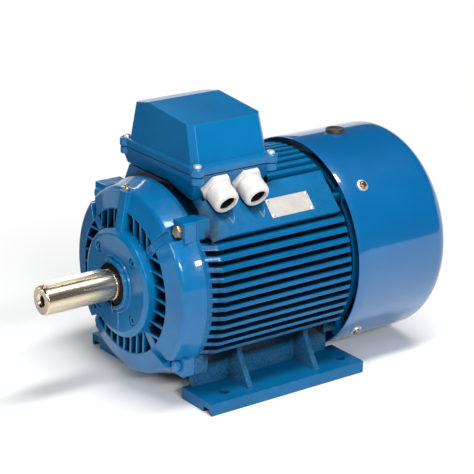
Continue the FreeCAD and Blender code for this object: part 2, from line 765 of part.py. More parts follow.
# ---- cowl ----
def cowl():
    r = cowlRadius
    t = cowlSheet
    e = cowlEdgeRadius
    k = halfRoot2

    def shell(radius, edge, back):
        outline = [Part.makeLine(V(cowlFront, 0, 0), V(cowlFront, 0, radius)),
                   Part.makeLine(V(cowlFront, 0, radius), V(back + edge, 0, radius)),
                   Part.Arc(V(back + edge, 0, radius), V(back + edge - edge * k, 0, radius - edge + edge * k),
                            V(back, 0, radius - edge)).toShape(),
                   Part.makeLine(V(back, 0, radius - edge), V(back, 0, 0)),
                   Part.makeLine(V(back, 0, 0), V(cowlFront, 0, 0))]
        return Part.Face(Part.Wire(outline)).revolve(V(0, 0, 0), V(1, 0, 0), 360)
    body = shell(r, e, cowlRear).cut(shell(r - t, e - t, cowlRear + t))
    slots = []
    for i in range(grilleRings):
        inner = grilleFirst + i * grillePitch - grilleSlot / 2
        slots.append(tube(cowlRear - 1, cowlRear + t + 1, inner + grilleSlot, inner))
    spokes = [box(cowlRear - 2, cowlRear + t + 2, -spokeWidth / 2, spokeWidth / 2, -r, r)]
    spokes = fused([turnedCopy(spokes[0], 180.0 * i / (grilleSpokes / 2)) for i in range(grilleSpokes // 2)])
    slots = [s.cut(spokes) for s in slots]
    slots += atCorners(Part.makeCylinder(cowlScrewDia / 2 + holeClearance, 20, V(cowlScrewX, 0, r - 10)))
    slots.append(Part.makeCylinder(plugStemDia / 2, 20, V(plugX, 0, r - 10)))
    return body.cut(slots)


# ---- terminal box ----
def boxSection(inset):
    """Cross-section of the box base, drawn inset by a wall."""
    lean = math.tan(math.radians(glandTilt))
    drop = inset / math.cos(math.radians(glandTilt))
    skirtOuter = boxSkirtOuter - drop
    return [(-boxHalfY + inset, boxSplit), (-boxHalfY + 3 + inset, boxSeat + inset),
            (boxSeatLow - inset * 0.3, boxSeat + inset), (boxSkirtInner - inset * 0.3, boxSkirt + inset),
            (skirtOuter + inset * lean, boxSkirt + inset),
            (skirtOuter + (boxSplit - boxSkirt) * lean, boxSplit)]


def boxBlock(inset):
    block = prismX(boxSection(inset), boxCentreX - boxHalfX - 5, boxCentreX + boxHalfX + 5)
    top, bottom = boxHalfX - inset, boxBottomHalfX - inset
    side = prismY([(boxCentreX - bottom, boxSkirt - 1), (boxCentreX + bottom, boxSkirt - 1),
                   (boxCentreX + top, boxSplit - 8), (boxCentreX + top, boxSplit + 1),
                   (boxCentreX - top, boxSplit + 1), (boxCentreX - top, boxSplit - 8)],
                  -2 * boxHalfY, 2 * boxHalfY)
    return block.common(side)


def cornerPlaces():
    return [(boxCentreX + sx * lidScrewX, sy * lidScrewY) for sx in (1, -1) for sy in (1, -1)]


def upright(x, y, z0, z1, radius):
    return Part.makeCylinder(radius, z1 - z0, V(x, y, z0))


def glandPlaces():
    lean = math.radians(glandTilt)
    along = V(0, math.cos(lean), -math.sin(lean))
    wallY = boxSkirtOuter + (glandHeight - boxSkirt) * math.tan(lean)
    places = [V(boxCentreX + s * glandSpacing / 2, wallY, glandHeight) for s in (1, -1)]
    return places, along


def glandRod(start, length, radius):
    places, along = glandPlaces()
    return [Part.makeCylinder(radius, length, p + along * start, along) for p in places]


def boxBase():
    body = boxBlock(0).cut(boxBlock(boxWall))
    rim = [upright(x, y, boxSplit - rimBoss, boxSplit, lidLugRadius - 1) for x, y in cornerPlaces()]
    bosses = [upright(x, y, boxSeat, boxSeat + seatBossHeight, seatBossRadius) for x, y in seatBoltPlaces()]
    body = fused([body] + rim + bosses)
    cuts = [leadHole(boxSeat - 5, boxSeat + boxWall + 5)]
    cuts += [upright(x, y, boxSeat - 1, boxSeat + seatBossHeight + 1, seatBoltDia / 2 + holeClearance / 2)
             for x, y in seatBoltPlaces()]
    cuts += [upright(x, y, boxSplit - rimBoss - 1, boxSplit + 1, lidScrewDia / 2 + threadClearance)
             for x, y in cornerPlaces()]
    cuts += glandRod(-boxWall - 6, boxWall + 12, glandThreadDia / 2 + threadClearance)
    x, y = earthPlace()
    cuts.append(upright(x, y, boxSeat + boxWall - earthDepth, boxSeat + boxWall + 1,
                        earthDia / 2 + threadClearance))
    return body.cut(cuts)


def seatBoltPlaces():
    return [(boxCentreX + sx * seatBoltX, seatMidY + sy * seatBoltY) for sx in (1, -1) for sy in (1, -1)]


def earthPlace():
    return boxCentreX - boardX / 2 + 12, pedestalHighY + 3


def lidSection(inset):
    return [(-lidFootY + inset, boxSplit + gasketThickness), (lidBackY + inset, lidBackTop - inset),
            (lidRidgeY, lidTopHigh - inset), (lidTopEdgeY - inset, lidTopLow - inset),
            (lidFootY - inset, boxSplit + gasketThickness)]


def lidBlock(inset):
    bottom = boxSplit + gasketThickness
    block = prismX(lidSection(inset), boxCentreX - 2 * lidFootHalfX, boxCentreX + 2 * lidFootHalfX)
    foot, top = lidFootHalfX - inset, lidTopHalfX - inset
    side = prismY([(boxCentreX - foot, bottom), (boxCentreX + foot, bottom),
                   (boxCentreX + top, lidTopHigh + 2), (boxCentreX - top, lidTopHigh + 2)],
                  -2 * lidFootY, 2 * lidFootY)
    body = block.common(side)
    corners = [e for e in body.Edges if e.BoundBox.ZLength > 4 * lidFlange]
    return body.makeChamfer(lidBevel - inset * lidBevelLoss, corners)


def flangePlate(z0, z1, grow):
    plate = box(boxCentreX - boxHalfX - 1 + grow, boxCentreX + boxHalfX + 1 - grow,
                -boxHalfY - 1 + grow, boxHalfY + 1 - grow, z0, z1)
    lugs = [upright(x, y, z0, z1, lidLugRadius - grow) for x, y in cornerPlaces()]
    return fused([plate] + lugs)


def lid():
    bottom = boxSplit + gasketThickness
    top = bottom + lidFlange
    plate = flangePlate(bottom, top, 0)
    plate = plate.makeFillet(lidBead, [e for e in plate.Edges if e.BoundBox.ZMin > top - lidBead])
    body = fused([lidBlock(0), plate]).cut(lidBlock(boxWall))
    radius = lidScrewDia / 2 + holeClearance / 2
    holes = [upright(x, y, bottom - 1, top + 1, radius) for x, y in cornerPlaces()]
    seats = [upright(x, y, top, top + lidHeight, lidSeatRadius) for x, y in cornerPlaces()]
    return body.cut(holes + seats)


def lidGasket():
    ring = flangePlate(boxSplit, boxSplit + gasketThickness, 2)
    room = box(boxCentreX - boxHalfX + 6, boxCentreX + boxHalfX - 6, -boxHalfY + 6, boxHalfY - 6,
               boxSplit - 1, boxSplit + gasketThickness + 1)
    holes = [upright(x, y, boxSplit - 1, boxSplit + 4, lidScrewDia / 2 + holeClearance / 2)
             for x, y in cornerPlaces()]
    return ring.cut([room] + holes)


# ---- what the two ends share: outward direction, faces and the back of the outer ring ----
driveEnd = {"sign": 1, "frame": frameFront, "lug": shieldLugThickness, "circle": boltCircle,
            "hub": hubFaceX, "seat": hubFaceX - counterboreDepth, "ring": bearingBackX}
fanEnd = {"sign": -1, "frame": frameRear, "lug": fanLugThickness, "circle": fanBoltCircle,
          "hub": hubFaceRearX, "seat": hubFaceRearX, "ring": fanBearingBackX + springThickness}


def between(a, b, radius, z=0.0):
    """Rod along X from a to b in either order."""
    return rod(min(a, b), max(a, b), radius, 0, z)


def shieldBolts(end):
    """Four hexagon-head bolts that hold a shield to the frame."""
    sign, circle = end["sign"], end["circle"]
    seat = end["frame"] + sign * end["lug"]
    head = hexRod(boltHeadFlats, boltHeadHeight, V(seat, 0, circle), V(sign, 0, 0))
    shank = between(seat, end["frame"] - sign * boltEngagement, shieldBoltDia / 2, circle)
    return Part.makeCompound(atCorners(head.fuse(shank)))


def innerCover(end):
    """Bearing cover: a flange behind the housing with a spigot against the outer ring."""
    sign, ring = end["sign"], end["ring"]
    housing = end["hub"] - sign * housingBack
    inside = housing - sign * coverThickness
    bore = coreShaftDia / 2 + shaftGap
    spigot = bearingRadius - spigotClearance
    cover = turned([(housing, coverRadius), (inside, coverRadius - 1), (inside, bore), (ring, bore),
                    (ring, spigot), (housing, spigot)])
    tap = between(inside - sign, housing + sign, coverBoltDia / 2 + threadClearance, coverBoltCircle)
    return cover.cut(atCorners(tap))


def preloadSpring():
    """Preload spring washer between the fan-end bearing and its cover."""
    return tube(fanBearingBackX, fanBearingBackX + springThickness, bearingRadius - springEdge,
                bearingRadius - outerRingLip)


def coverBolts(end):
    """Four socket-head screws through the shield into the bearing cover."""
    sign, seat = end["sign"], end["seat"]
    tip = end["hub"] - sign * (housingBack + coverThickness - 0.5)
    top = seat + sign * coverBoltDia
    head = between(seat, top, coverHeadDia / 2, coverBoltCircle)
    socket = hexRod(coverSocketFlats, coverBoltDia / 2, V(top, 0, coverBoltCircle), V(-sign, 0, 0))
    shank = between(seat, tip, coverBoltDia / 2, coverBoltCircle)
    return Part.makeCompound(atCorners(head.fuse(shank).cut(socket)))


# ---- windings and small pieces of the machine ----
def statorCore():
    return tube(coreRear, coreFront, boreRadius, statorInner)


def coilEnds():
    """Taped end windings with a rounded outer edge at both ends of the core."""
    coils = []
    for start, sign in ((coreFront, 1), (coreRear, -1)):
        end = start + sign * coilLength
        coils.append(turned([
            (start, coilInner), (end - sign * 8, coilInner + 2), (end, coilInner + 9), (end, coilOuter - 9),
            (end - sign * 8, coilOuter), (start + sign * 10, coilOuter - 1), (start, coilOuter - 5)]))
    return Part.makeCompound(coils)


def sealRing(start, inner):
    """Lip seal ring on the shaft; start is the side away from the bearing."""
    sign = 1 if start > 0 else -1
    back = start - sign * sealWidth
    return turned([(start, inner), (start, sealOuter - 2.5), (start - sign * 1.5, sealOuter),
                   (back + sign * 1.2, sealOuter), (back, sealOuter - 1.5), (back, inner)])


def circlip():
    """Snap ring behind the fan hub, open at the top."""
    back = fanRearX - circlipClearance
    ring = tube(back - circlipThickness, back, fanSeatDia / 2 + 3.5, fanSeatDia / 2 - circlipDepth)
    gap = box(fanRearX - 5, fanRearX + 5, -3, 3, 0, fanSeatDia)
    return ring.cut(gap)


def cowlScrews():
    """Pan-head screws, radial, through washer and cowl into the tongues of the shield."""
    seat = cowlRadius + cowlWasherThickness
    head = Part.makeCylinder(cowlHeadDia / 2, cowlHeadHeight, V(cowlScrewX, 0, seat))
    head = head.makeFillet(1.4, [e for e in head.Edges if e.BoundBox.ZMin > seat + 1])
    slot = box(cowlScrewX - cowlHeadDia, cowlScrewX + cowlHeadDia, -0.7, 0.7, seat + 2.2, seat + 9)
    shank = Part.makeCylinder(cowlScrewDia / 2, cowlScrewLength, V(cowlScrewX, 0, seat - cowlScrewLength))
    return Part.makeCompound(atCorners(head.cut(slot).fuse(shank)))


def cowlWashers():
    """Washers with a flat top, dished to the round of the cowl."""
    top = cowlRadius + cowlWasherThickness
    washer = Part.makeCylinder(cowlWasherDia / 2, cowlWasherThickness + 1, V(cowlScrewX, 0, cowlRadius - 1))
    hole = Part.makeCylinder(cowlScrewDia / 2 + holeClearance / 2, 10, V(cowlScrewX, 0, top - 6))
    cowlRound = rod(cowlScrewX - cowlWasherDia, cowlScrewX + cowlWasherDia, cowlRadius)
    return Part.makeCompound(atCorners(washer.cut([cowlRound, hole])))


def cowlPlug():
    x = plugX
    r = cowlRadius
    head = Part.makeCylinder(plugDia / 2, plugHeight + 1.5, V(x, 0, r - 1.5))
    head = head.makeFillet(0.8, [e for e in head.Edges if e.BoundBox.ZMin > r + 1])
    head = head.cut(rod(x - 30, x + 30, r))
    stem = Part.makeCylinder(plugStemDia / 2 - 0.1, 8, V(x, 0, r - 6))
    lip = Part.makeCone(plugStemDia / 2 - 2, plugStemDia / 2 + 1.5, 3, V(x, 0, r - cowlSheet - 5.2))
    return head.fuse([stem, lip])


# ---- glands and fittings of the terminal box ----
def glandBodies():
    """Hexagon, collar under the cap, and the thread that screws into the box wall."""
    places, along = glandPlaces()
    passage = glandBoreRadius + glandSealWall
    bodies = []
    for p in places:
        flange = hexRod(glandFlats, glandHexLength, p, along)
        collar = Part.makeCylinder(glandCollarRadius, glandCollarLength, p + along * glandHexLength, along)
        inside = p - along * glandThreadLength
        thread = Part.makeCylinder(glandThreadDia / 2, glandThreadLength, inside, along)
        bore = Part.makeCylinder(passage, 60, p - along * 20, along)
        bodies.append(fused([flange, collar, thread]).cut(bore))
    return Part.makeCompound(bodies)


def glandCaps():
    """Domed caps that squeeze the seals round the cable."""
    places, along = glandPlaces()
    caps = []
    for p in places:
        start = p + along * (glandHexLength + glandCapGap)
        cap = Part.makeCylinder(glandCapRadius, glandCapLength, start, along)
        mouth = [e for e in cap.Edges if e.Curve.TypeId == "Part::GeomCircle"
                 and (e.CenterOfMass - start).dot(along) > glandCapLength / 2]
        cap = cap.makeFillet(glandCapRound, mouth)
        room = Part.makeCylinder(glandCollarRadius + glandFit, glandCollarLength - glandCapGap, start, along)
        sealRoom = Part.makeCylinder(glandBoreRadius + glandSealWall, glandCapLength - glandLip, start, along)
        bore = Part.makeCylinder(glandBoreRadius, 2 * glandCapLength, start - along * 5, along)
        caps.append(cap.cut([room, sealRoom, bore]))
    return Part.makeCompound(caps)


def glandSeals():
    """Rubber sleeves from the hexagon to the lip of the cap."""
    places, along = glandPlaces()
    length = glandSealDepth + glandCapGap + glandCapLength - glandLip
    seals = []
    for p in places:
        start = p + along * (glandHexLength - glandSealDepth)
        ring = Part.makeCylinder(glandBoreRadius + glandSealWall - glandFit, length, start, along)
        bore = Part.makeCylinder(glandSealRadius, length + 2, start - along, along)
        seals.append(ring.cut(bore))
    return Part.makeCompound(seals)


def baseGasket():
    pad = box(boxCentreX - pedestalRear + 1, boxCentreX + pedestalFront - 1, pedestalLowY + 4,
              pedestalHighY - 1, pedestalTop, boxSeat)
    holes = [upright(x, y, pedestalTop - 1, boxSeat + 1, seatBoltDia / 2 + holeClearance / 2)
             for x, y in seatBoltPlaces()]
    return pad.cut([leadHole(pedestalTop - 1, boxSeat + 1)] + holes)


def panScrew(x, y, seat, length, dia):
    """Slotted pan-head screw that stands upright, head resting at z = seat."""
    headDia = dia * panHeadRatio
    top = seat + dia * panHeadRise
    head = upright(x, y, seat, top, headDia / 2)
    slot = box(x - headDia, x + headDia, y - dia / 10, y + dia / 10, top - dia / 4, top + 1)
    return head.cut(slot).fuse(upright(x, y, seat - length, seat, dia / 2))


def seatBolts():
    seat = boxSeat + seatBossHeight
    return Part.makeCompound([panScrew(x, y, seat, seatBoltLength, seatBoltDia) for x, y in seatBoltPlaces()])


def lidScrews():
    seat = boxSplit + gasketThickness + lidFlange
    return Part.makeCompound([panScrew(x, y, seat, lidScrewLength, lidScrewDia) for x, y in cornerPlaces()])


boardZ = boxSeat + boxWall + boardLift
boardTop = boardZ + boardThickness


def studPlaces():
    return [(boxCentreX + studPitchX * i, seatMidY + studPitchY * j)
            for i in (-1, 0, 1) for j in (-0.5, 0.5)]


def terminalBoard():
    """Moulded board on four posts, with two barriers between the three phases."""
    x, y = boxCentreX, seatMidY
    board = box(x - boardX / 2, x + boardX / 2, y - boardY / 2, y + boardY / 2, boardZ, boardTop)
    postX, postY = boardX / 2 - 7, boardY / 2 - boardPostRadius
    posts = [upright(x + sx * postX, y + sy * postY, boxSeat + boxWall, boardZ, boardPostRadius)
             for sx in (1, -1) for sy in (1, -1)]
    barriers = [box(x + shift - 1, x + shift + 1, y - boardY / 2, y + boardY / 2,
                    boardTop, boardTop + barrierHeight) for shift in (-studPitchX / 2, studPitchX / 2)]
    holes = [upright(px, py, boardZ - 1, boardTop + 1, studDia / 2 + threadClearance)
             for px, py in studPlaces()]
    return fused([board] + posts + barriers).cut(holes)


def terminalStuds():
    return Part.makeCompound([upright(px, py, boardZ - boardLift / 3, boardTop + studRise, studDia / 2)
                              for px, py in studPlaces()])


def terminalLinks():
    """Three brass links that join the stud pairs."""
    holes = [upright(px, py, boardTop - 1, boardTop + 4, studDia / 2 + threadClearance)
             for px, py in studPlaces()]
    half = studPitchY / 2 + linkWidth / 2 + 1
    links = []
    for i in (-1, 0, 1):
        x = boxCentreX + studPitchX * i
        strap = box(x - linkWidth / 2, x + linkWidth / 2, seatMidY - half, seatMidY + half, boardTop,
                    boardTop + linkThickness)
        links.append(strap.cut(holes))
    return Part.makeCompound(links)


def terminalNuts():
    seat = boardTop + linkThickness
    nuts = []
    for px, py in studPlaces():
        nut = hexRod(nutFlats, nutHeight, V(px, py, seat), V(0, 0, 1))
        nuts.append(nut.cut(upright(px, py, seat - 1, seat + nutHeight + 1, studDia / 2 + threadClearance)))
    return Part.makeCompound(nuts)


def earthScrew():
    x, y = earthPlace()
    return panScrew(x, y, boxSeat + boxWall, earthDepth, earthDia)


# ---- nameplate on the slanted pad ----
def plateFrame(shape):
    """Stand a shape drawn flat (x, shift, distance) on the 45 degree pad of the +Y side."""
    turned45 = shape.copy()
    turned45.rotate(V(0, 0, 0), V(1, 0, 0), -45)
    return turned45


def rivetPlaces():
    halfX, halfY = plateLength / 2 - rivetInset, plateHeight / 2 - rivetInset
    return [(plateCentreX + sx * halfX, plateShift + sy * halfY) for sx in (1, -1) for sy in (1, -1)]


def nameplate():
    plate = box(plateCentreX - plateLength / 2, plateCentreX + plateLength / 2, plateShift - plateHeight / 2,
                plateShift + plateHeight / 2, padDistance, padDistance + plateThickness)
    holes = [upright(x, y, padDistance - 1, padDistance + 3, rivetDia / 2 + threadClearance)
             for x, y in rivetPlaces()]
    return plateFrame(plate.cut(holes))


def rivets():
    z = padDistance
    pins = []
    for x, y in rivetPlaces():
        head = upright(x, y, z + plateThickness, z + plateThickness + rivetHead, rivetDia)
        pins.append(plateFrame(head.fuse(upright(x, y, z - rivetDepth, z + plateThickness, rivetDia / 2))))
    return Part.makeCompound(pins)


def rivetHoles():
    radius = rivetDia / 2 + threadClearance
    return [plateFrame(upright(x, y, padDistance - rivetDepth, padDistance + 1, radius))
            for x, y in rivetPlaces()]


# ---- every piece, one file each ----
os.makedirs("parts", exist_ok=True)
save("frame_housing", frameHousing())
save("shield_drive_end", shieldDriveEnd())
save("grease_nipple", greaseNipple())
save("shield_fan_end", shieldFanEnd())
save("shield_bolts_drive", shieldBolts(driveEnd))
save("shield_bolts_fan", shieldBolts(fanEnd))
save("bearing_cover_drive", innerCover(driveEnd))
save("bearing_cover_fan", innerCover(fanEnd))
save("cover_bolts_drive", coverBolts(driveEnd))
save("cover_bolts_fan", coverBolts(fanEnd))
save("preload_spring", preloadSpring())
for end, front in (("drive", bearingBackX), ("fan", fanBearingFrontX)):
    outerRing, innerRing = bearingRings(front)
    balls, cage = ballRow(front)
    save("bearing_outer_ring_" + end, outerRing)
    save("bearing_inner_ring_" + end, innerRing)
    save("bearing_balls_" + end, balls)
    save("bearing_cage_" + end, cage)
save("stator_core", statorCore())
save("stator_winding", coilEnds())
save("rotor_core", rotorCore())
save("rotor_cage_rings", endRings())
save("shaft", shaftSolid())
save("shaft_key", keySolid())
save("shaft_seal_drive", sealRing(hubFaceX + sealWidth, journalRadius))
save("shaft_seal_fan", sealRing(sealSeatX - sealWidth, journalRadius))
save("fan", fan())
save("fan_circlip", circlip())
save("fan_cowl", cowl())
save("cowl_screws", cowlScrews())
save("cowl_washers", cowlWashers())
save("cowl_plug", cowlPlug())
save("terminal_box_gasket", baseGasket())
save("terminal_box_base", boxBase())
save("terminal_box_bolts", seatBolts())
save("terminal_box_lid", lid())
save("lid_gasket", lidGasket())
save("lid_screws", lidScrews())
save("terminal_board", terminalBoard())
save("terminal_studs", terminalStuds())
save("terminal_links", terminalLinks())
save("terminal_nuts", terminalNuts())
save("earth_screw", earthScrew())
save("gland_bodies", glandBodies())
save("gland_caps", glandCaps())
save("gland_seals", glandSeals())
save("nameplate", nameplate())
save("nameplate_rivets", rivets())
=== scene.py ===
import json
import math

import bmesh
import bpy
from mathutils import Matrix, Vector


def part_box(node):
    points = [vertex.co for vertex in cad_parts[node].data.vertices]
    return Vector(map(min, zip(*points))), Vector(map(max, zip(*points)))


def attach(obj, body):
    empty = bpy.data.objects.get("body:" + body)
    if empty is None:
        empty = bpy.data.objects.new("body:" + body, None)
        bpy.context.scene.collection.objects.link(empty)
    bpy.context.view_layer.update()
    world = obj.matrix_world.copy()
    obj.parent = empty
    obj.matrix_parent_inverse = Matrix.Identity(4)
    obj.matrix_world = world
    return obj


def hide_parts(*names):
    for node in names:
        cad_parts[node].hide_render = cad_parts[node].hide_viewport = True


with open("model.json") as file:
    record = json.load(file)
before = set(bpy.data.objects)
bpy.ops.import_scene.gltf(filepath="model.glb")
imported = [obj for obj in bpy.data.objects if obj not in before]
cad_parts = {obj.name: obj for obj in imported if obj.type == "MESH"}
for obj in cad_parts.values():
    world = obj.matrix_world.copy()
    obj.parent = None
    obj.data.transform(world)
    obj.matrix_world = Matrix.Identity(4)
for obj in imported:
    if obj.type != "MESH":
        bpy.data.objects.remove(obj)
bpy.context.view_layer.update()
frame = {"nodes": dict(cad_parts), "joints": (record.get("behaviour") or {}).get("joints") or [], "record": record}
nodes = frame["nodes"]
record = frame["record"]
scene = bpy.context.scene
bodyOf = {n: b for b, members in record["behaviour"]["bodies"].items() for n in members}
slotOf = {p["node"]: p["material_slot"] for p in record["subparts"]}
print("frame loaded:", len(nodes), "nodes")

mm = 0.001
merge = 0.00001  # points nearer than this become one
# the shaft line, read from the rotor joint
spin = next(j for j in frame["joints"] if j["name"] == "rotor_spin")
shaftZ = spin["pos_m"][2]
# the four ways out from the shaft line at 45 degrees
diagonals = [Vector((0, sy, sz)).normalized() for sy, sz in ((1, 1), (-1, 1), (-1, -1), (1, -1))]


def addObject(name, data):
    thing = bpy.data.objects.new(name, data)
    scene.collection.objects.link(thing)
    return thing


def boxOf(node):
    # lowest and highest corner of a CAD node, in mm
    return [Vector(v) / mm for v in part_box(node)]


def middleOf(node):
    low, high = boxOf(node)
    return (low + high) / 2


# camera: same side and height as a catalogue view; distance and aim in metres
cameraSet = {"azimuth": 143.2, "elevation": 19.8, "roll": 1.2, "distance": 2.6705, "lens": 139.19,
             "aimUp": 0.0269, "aimRight": 0.0064, "nearest": 0.1, "furthest": 50}


def aimCamera(s):
    a, e, r = (math.radians(s[k]) for k in ("azimuth", "elevation", "roll"))
    back = Vector((math.sin(a) * math.cos(e), -math.cos(a) * math.cos(e), math.sin(e)))
    right = Vector((math.cos(a), math.sin(a), 0))
    up = back.cross(right)
    right, up = right * math.cos(r) + up * math.sin(r), up * math.cos(r) - right * math.sin(r)
    place = Vector((0, 0, shaftZ)) + right * s["aimRight"] + up * s["aimUp"] + back * s["distance"]
    data = bpy.data.cameras.new("catalogueCamera")
    data.lens = s["lens"]
    data.clip_start, data.clip_end = s["nearest"], s["furthest"]
    scene.camera = addObject("catalogueCamera", data)
    scene.camera.matrix_world = Matrix.Translation(place) @ Matrix((right, up, back)).transposed().to_4x4()


aimCamera(cameraSet)
print("camera placed")


# building blocks for node trees
def put(tree, kind, sockets=(), out=0, **props):
    # a new node, its sockets linked or set; gives one of its outputs
    node = tree.nodes.new(kind)
    for key, value in props.items():
        setattr(node, key, value)
    for key, value in sockets:
        if isinstance(value, bpy.types.NodeSocket):
            tree.links.new(value, node.inputs[key])
        else:
            node.inputs[key].default_value = value
    return node.outputs[out]


def calc(tree, operation, *values, **props):
    return put(tree, "ShaderNodeMath", list(enumerate(values)), operation=operation, **props)


def ramped(tree, value, low, high):
    # soft step from nought at low to one at high
    return put(tree, "ShaderNodeMapRange", [("Value", value), ("From Min", low), ("From Max", high)],
               interpolation_type="SMOOTHSTEP")


def greatest(tree, first, *others):
    for other in others:
        first = calc(tree, "MAXIMUM", first, other)
    return first


def splitUp(tree, vector):
    split = tree.nodes.new("ShaderNodeSeparateXYZ")
    tree.links.new(vector, split.inputs[0])
    return split.outputs


def lengthOf(tree, vector):
    return put(tree, "ShaderNodeVectorMath", [(0, vector)], out="Value", operation="LENGTH")


def objectPlace(tree):
    return put(tree, "ShaderNodeTexCoord", out="Object")


def seenBy(tree, *rays):
    # one for the kinds of ray that are named, nought for light on its way to the object
    path = tree.nodes.new("ShaderNodeLightPath").outputs
    seen = path[rays[0]]
    for ray in rays[1:]:
        seen = calc(tree, "ADD", seen, path[ray], use_clamp=True)
    return seen


def newMaterial(name):
    mat = bpy.data.materials.new(name)
    mat.use_nodes = True
    return mat, mat.node_tree, mat.node_tree.nodes["Principled BSDF"]


# room: pale floor, pale world, soft strip lamps and dark cloth for the gloss, in metres
# each lamp: name, place, target, width, length, watts
room = {"floorSize": 9.0, "floorColour": (0.95, 0.95, 0.95), "floorRough": 0.85, "ambient": 0.14,
        "whiteFrom": 0.35, "whiteBy": 0.75,
        "lamps": [("topStrip", (-0.1, 0.6, 2.2), (-0.05, 0, 0.2), 0.35, 1.7, 42),
                  ("sideStrip", (0.7, 2.4, 1.35), (0, 0, 0.15), 0.25, 1.1, 46),
                  ("endStrip", (2.3, 0.7, 1.2), (0.2, 0, 0.2), 0.35, 0.9, 12),
                  ("backStrip", (-0.5, -2.3, 1.5), (0, 0, 0.15), 0.5, 1.4, 16)],
        "clothColour": (0.012, 0.012, 0.014), "clothRough": 1.0,
        "domeRadius": 4.2, "domeColumns": 72, "domeRows": 60, "openWidth": 78, "openHeight": 15,
        "groundCloth": [(0.12, -0.16), (0.12, -2.7), (2.7, -2.7), (2.7, -0.6), (0.5, -0.6), (0.5, -0.16)],
        "groundClothZ": 0.002}


def paleWorld(s):
    world = bpy.data.worlds.new("paleWorld")
    scene.world = world
    world.use_nodes = True
    tree = world.node_tree
    back = tree.nodes["Background"].inputs
    back["Color"].default_value = (1, 1, 1, 1)
    seen = seenBy(tree, "Is Camera Ray", "Is Glossy Ray", "Is Transmission Ray")
    level = put(tree, "ShaderNodeMapRange", [("Value", seen), ("To Min", s["ambient"]), ("To Max", 1.0)])
    tree.links.new(level, back["Strength"])


def paleFloor(s):
    half = s["floorSize"] / 2
    edge = [(-half, -half, 0), (half, -half, 0), (half, half, 0), (-half, half, 0)]
    mesh = bpy.data.meshes.new("paleFloor")
    mesh.from_pydata(edge, [], [(0, 1, 2, 3)])
    mat, tree, shader = newMaterial("paleFloor")
    shader.inputs["Base Color"].default_value = (*s["floorColour"], 1)
    shader.inputs["Roughness"].default_value = s["floorRough"]
    # white backdrop further out, for the eye and in gloss; the shadow stays near the feet
    away = ramped(tree, lengthOf(tree, objectPlace(tree)), s["whiteFrom"], s["whiteBy"])
    share = calc(tree, "MULTIPLY", seenBy(tree, "Is Camera Ray", "Is Glossy Ray"), away)
    white = put(tree, "ShaderNodeEmission")
    mix = put(tree, "ShaderNodeMixShader", [("Fac", share), (1, shader.outputs["BSDF"]), (2, white)])
    tree.links.new(mix, tree.nodes["Material Output"].inputs["Surface"])
    mesh.materials.append(mat)
    addObject("paleFloor", mesh)


def softLamps(s):
    for name, place, target, width, length, power in s["lamps"]:
        data = bpy.data.lights.new(name, "AREA")
        data.shape = "RECTANGLE"
        data.size, data.size_y = length, width
        data.energy = power
        lamp = addObject(name, data)
        aim = Vector(target) - Vector(place)
        lamp.location = place
        lamp.rotation_euler = aim.to_track_quat("-Z", "Y").to_euler()


def darkCurtain(s):
    # dark cloth all round and overhead that only shows in gloss; it is open behind the object, low down
    work = bmesh.new()
    bmesh.ops.create_uvsphere(work, u_segments=s["domeColumns"], v_segments=s["domeRows"],
                              radius=s["domeRadius"])
    away = -scene.camera.matrix_world.translation.xy.normalized()
    gone = []
    for f in work.faces:
        middle = f.calc_center_median()
        rise = math.degrees(math.asin(middle.z / middle.length))
        turn = math.degrees(middle.xy.angle(away, 0))
        if rise < 0 or (rise < s["openHeight"] and turn < s["openWidth"]):
            gone.append(f)
    bmesh.ops.delete(work, geom=gone, context="FACES")
    bmesh.ops.reverse_faces(work, faces=work.faces)
    # more of the cloth lies on the floor beyond the drive end
    work.faces.new([work.verts.new((x, y, s["groundClothZ"])) for x, y in s["groundCloth"]])
    mesh = bpy.data.meshes.new("darkCurtain")
    work.to_mesh(mesh)
    work.free()
    mat, tree, shader = newMaterial("darkCloth")
    shader.inputs["Base Color"].default_value = (*s["clothColour"], 1)
    shader.inputs["Roughness"].default_value = s["clothRough"]
    mesh.materials.append(mat)
    curtain = addObject("darkCurtain", mesh)
    curtain.visible_camera = curtain.visible_diffuse = curtain.visible_shadow = False
    curtain.visible_transmission = curtain.visible_volume_scatter = False


paleWorld(room)
paleFloor(room)
darkCurtain(room)
softLamps(room)
print("room lit")


# finishes
noiseRange = (0.3, 0.7)  # most of what a noise gives


def noiseOf(tree, scale, detail=3.0, roughness=0.55, stretch=(1, 1, 1)):
    stretched = put(tree, "ShaderNodeMapping", [("Vector", objectPlace(tree)), ("Scale", stretch)])
    return put(tree, "ShaderNodeTexNoise", [("Vector", stretched), ("Scale", scale), ("Detail", detail),
                                            ("Roughness", roughness)], out="Fac")


def shades(tree, noise, dark, light, limits):
    # one colour below the lower limit of the noise, the other above the upper one
    ramp = tree.nodes.new("ShaderNodeValToRGB")
    for stop, place, colour in zip(ramp.color_ramp.elements, limits, (dark, light)):
        stop.position = place
        stop.color = (*colour, 1)
    tree.links.new(noise, ramp.inputs["Fac"])
    return ramp.outputs["Color"]


def roughen(tree, shader, noise, rough, mottle):
    # roughness in patches, or even where there is no mottle
    if mottle:
        patchy = put(tree, "ShaderNodeMapRange",
                     [("Value", noise), ("From Min", noiseRange[0]), ("From Max", noiseRange[1]),
                      ("To Min", rough - mottle), ("To Max", rough + mottle)])
        tree.links.new(patchy, shader.inputs["Roughness"])
    else:
        shader.inputs["Roughness"].default_value = rough


def bumpOf(tree, shader, layers):
    # each layer: noise, strength, distance; the first is the coarsest
    under = []
    for height, strength, distance in layers:
        sockets = [("Height", height), ("Strength", strength), ("Distance", distance)]
        under = [("Normal", put(tree, "ShaderNodeBump", sockets + under))]
    tree.links.new(under[0][1], shader.inputs["Normal"])


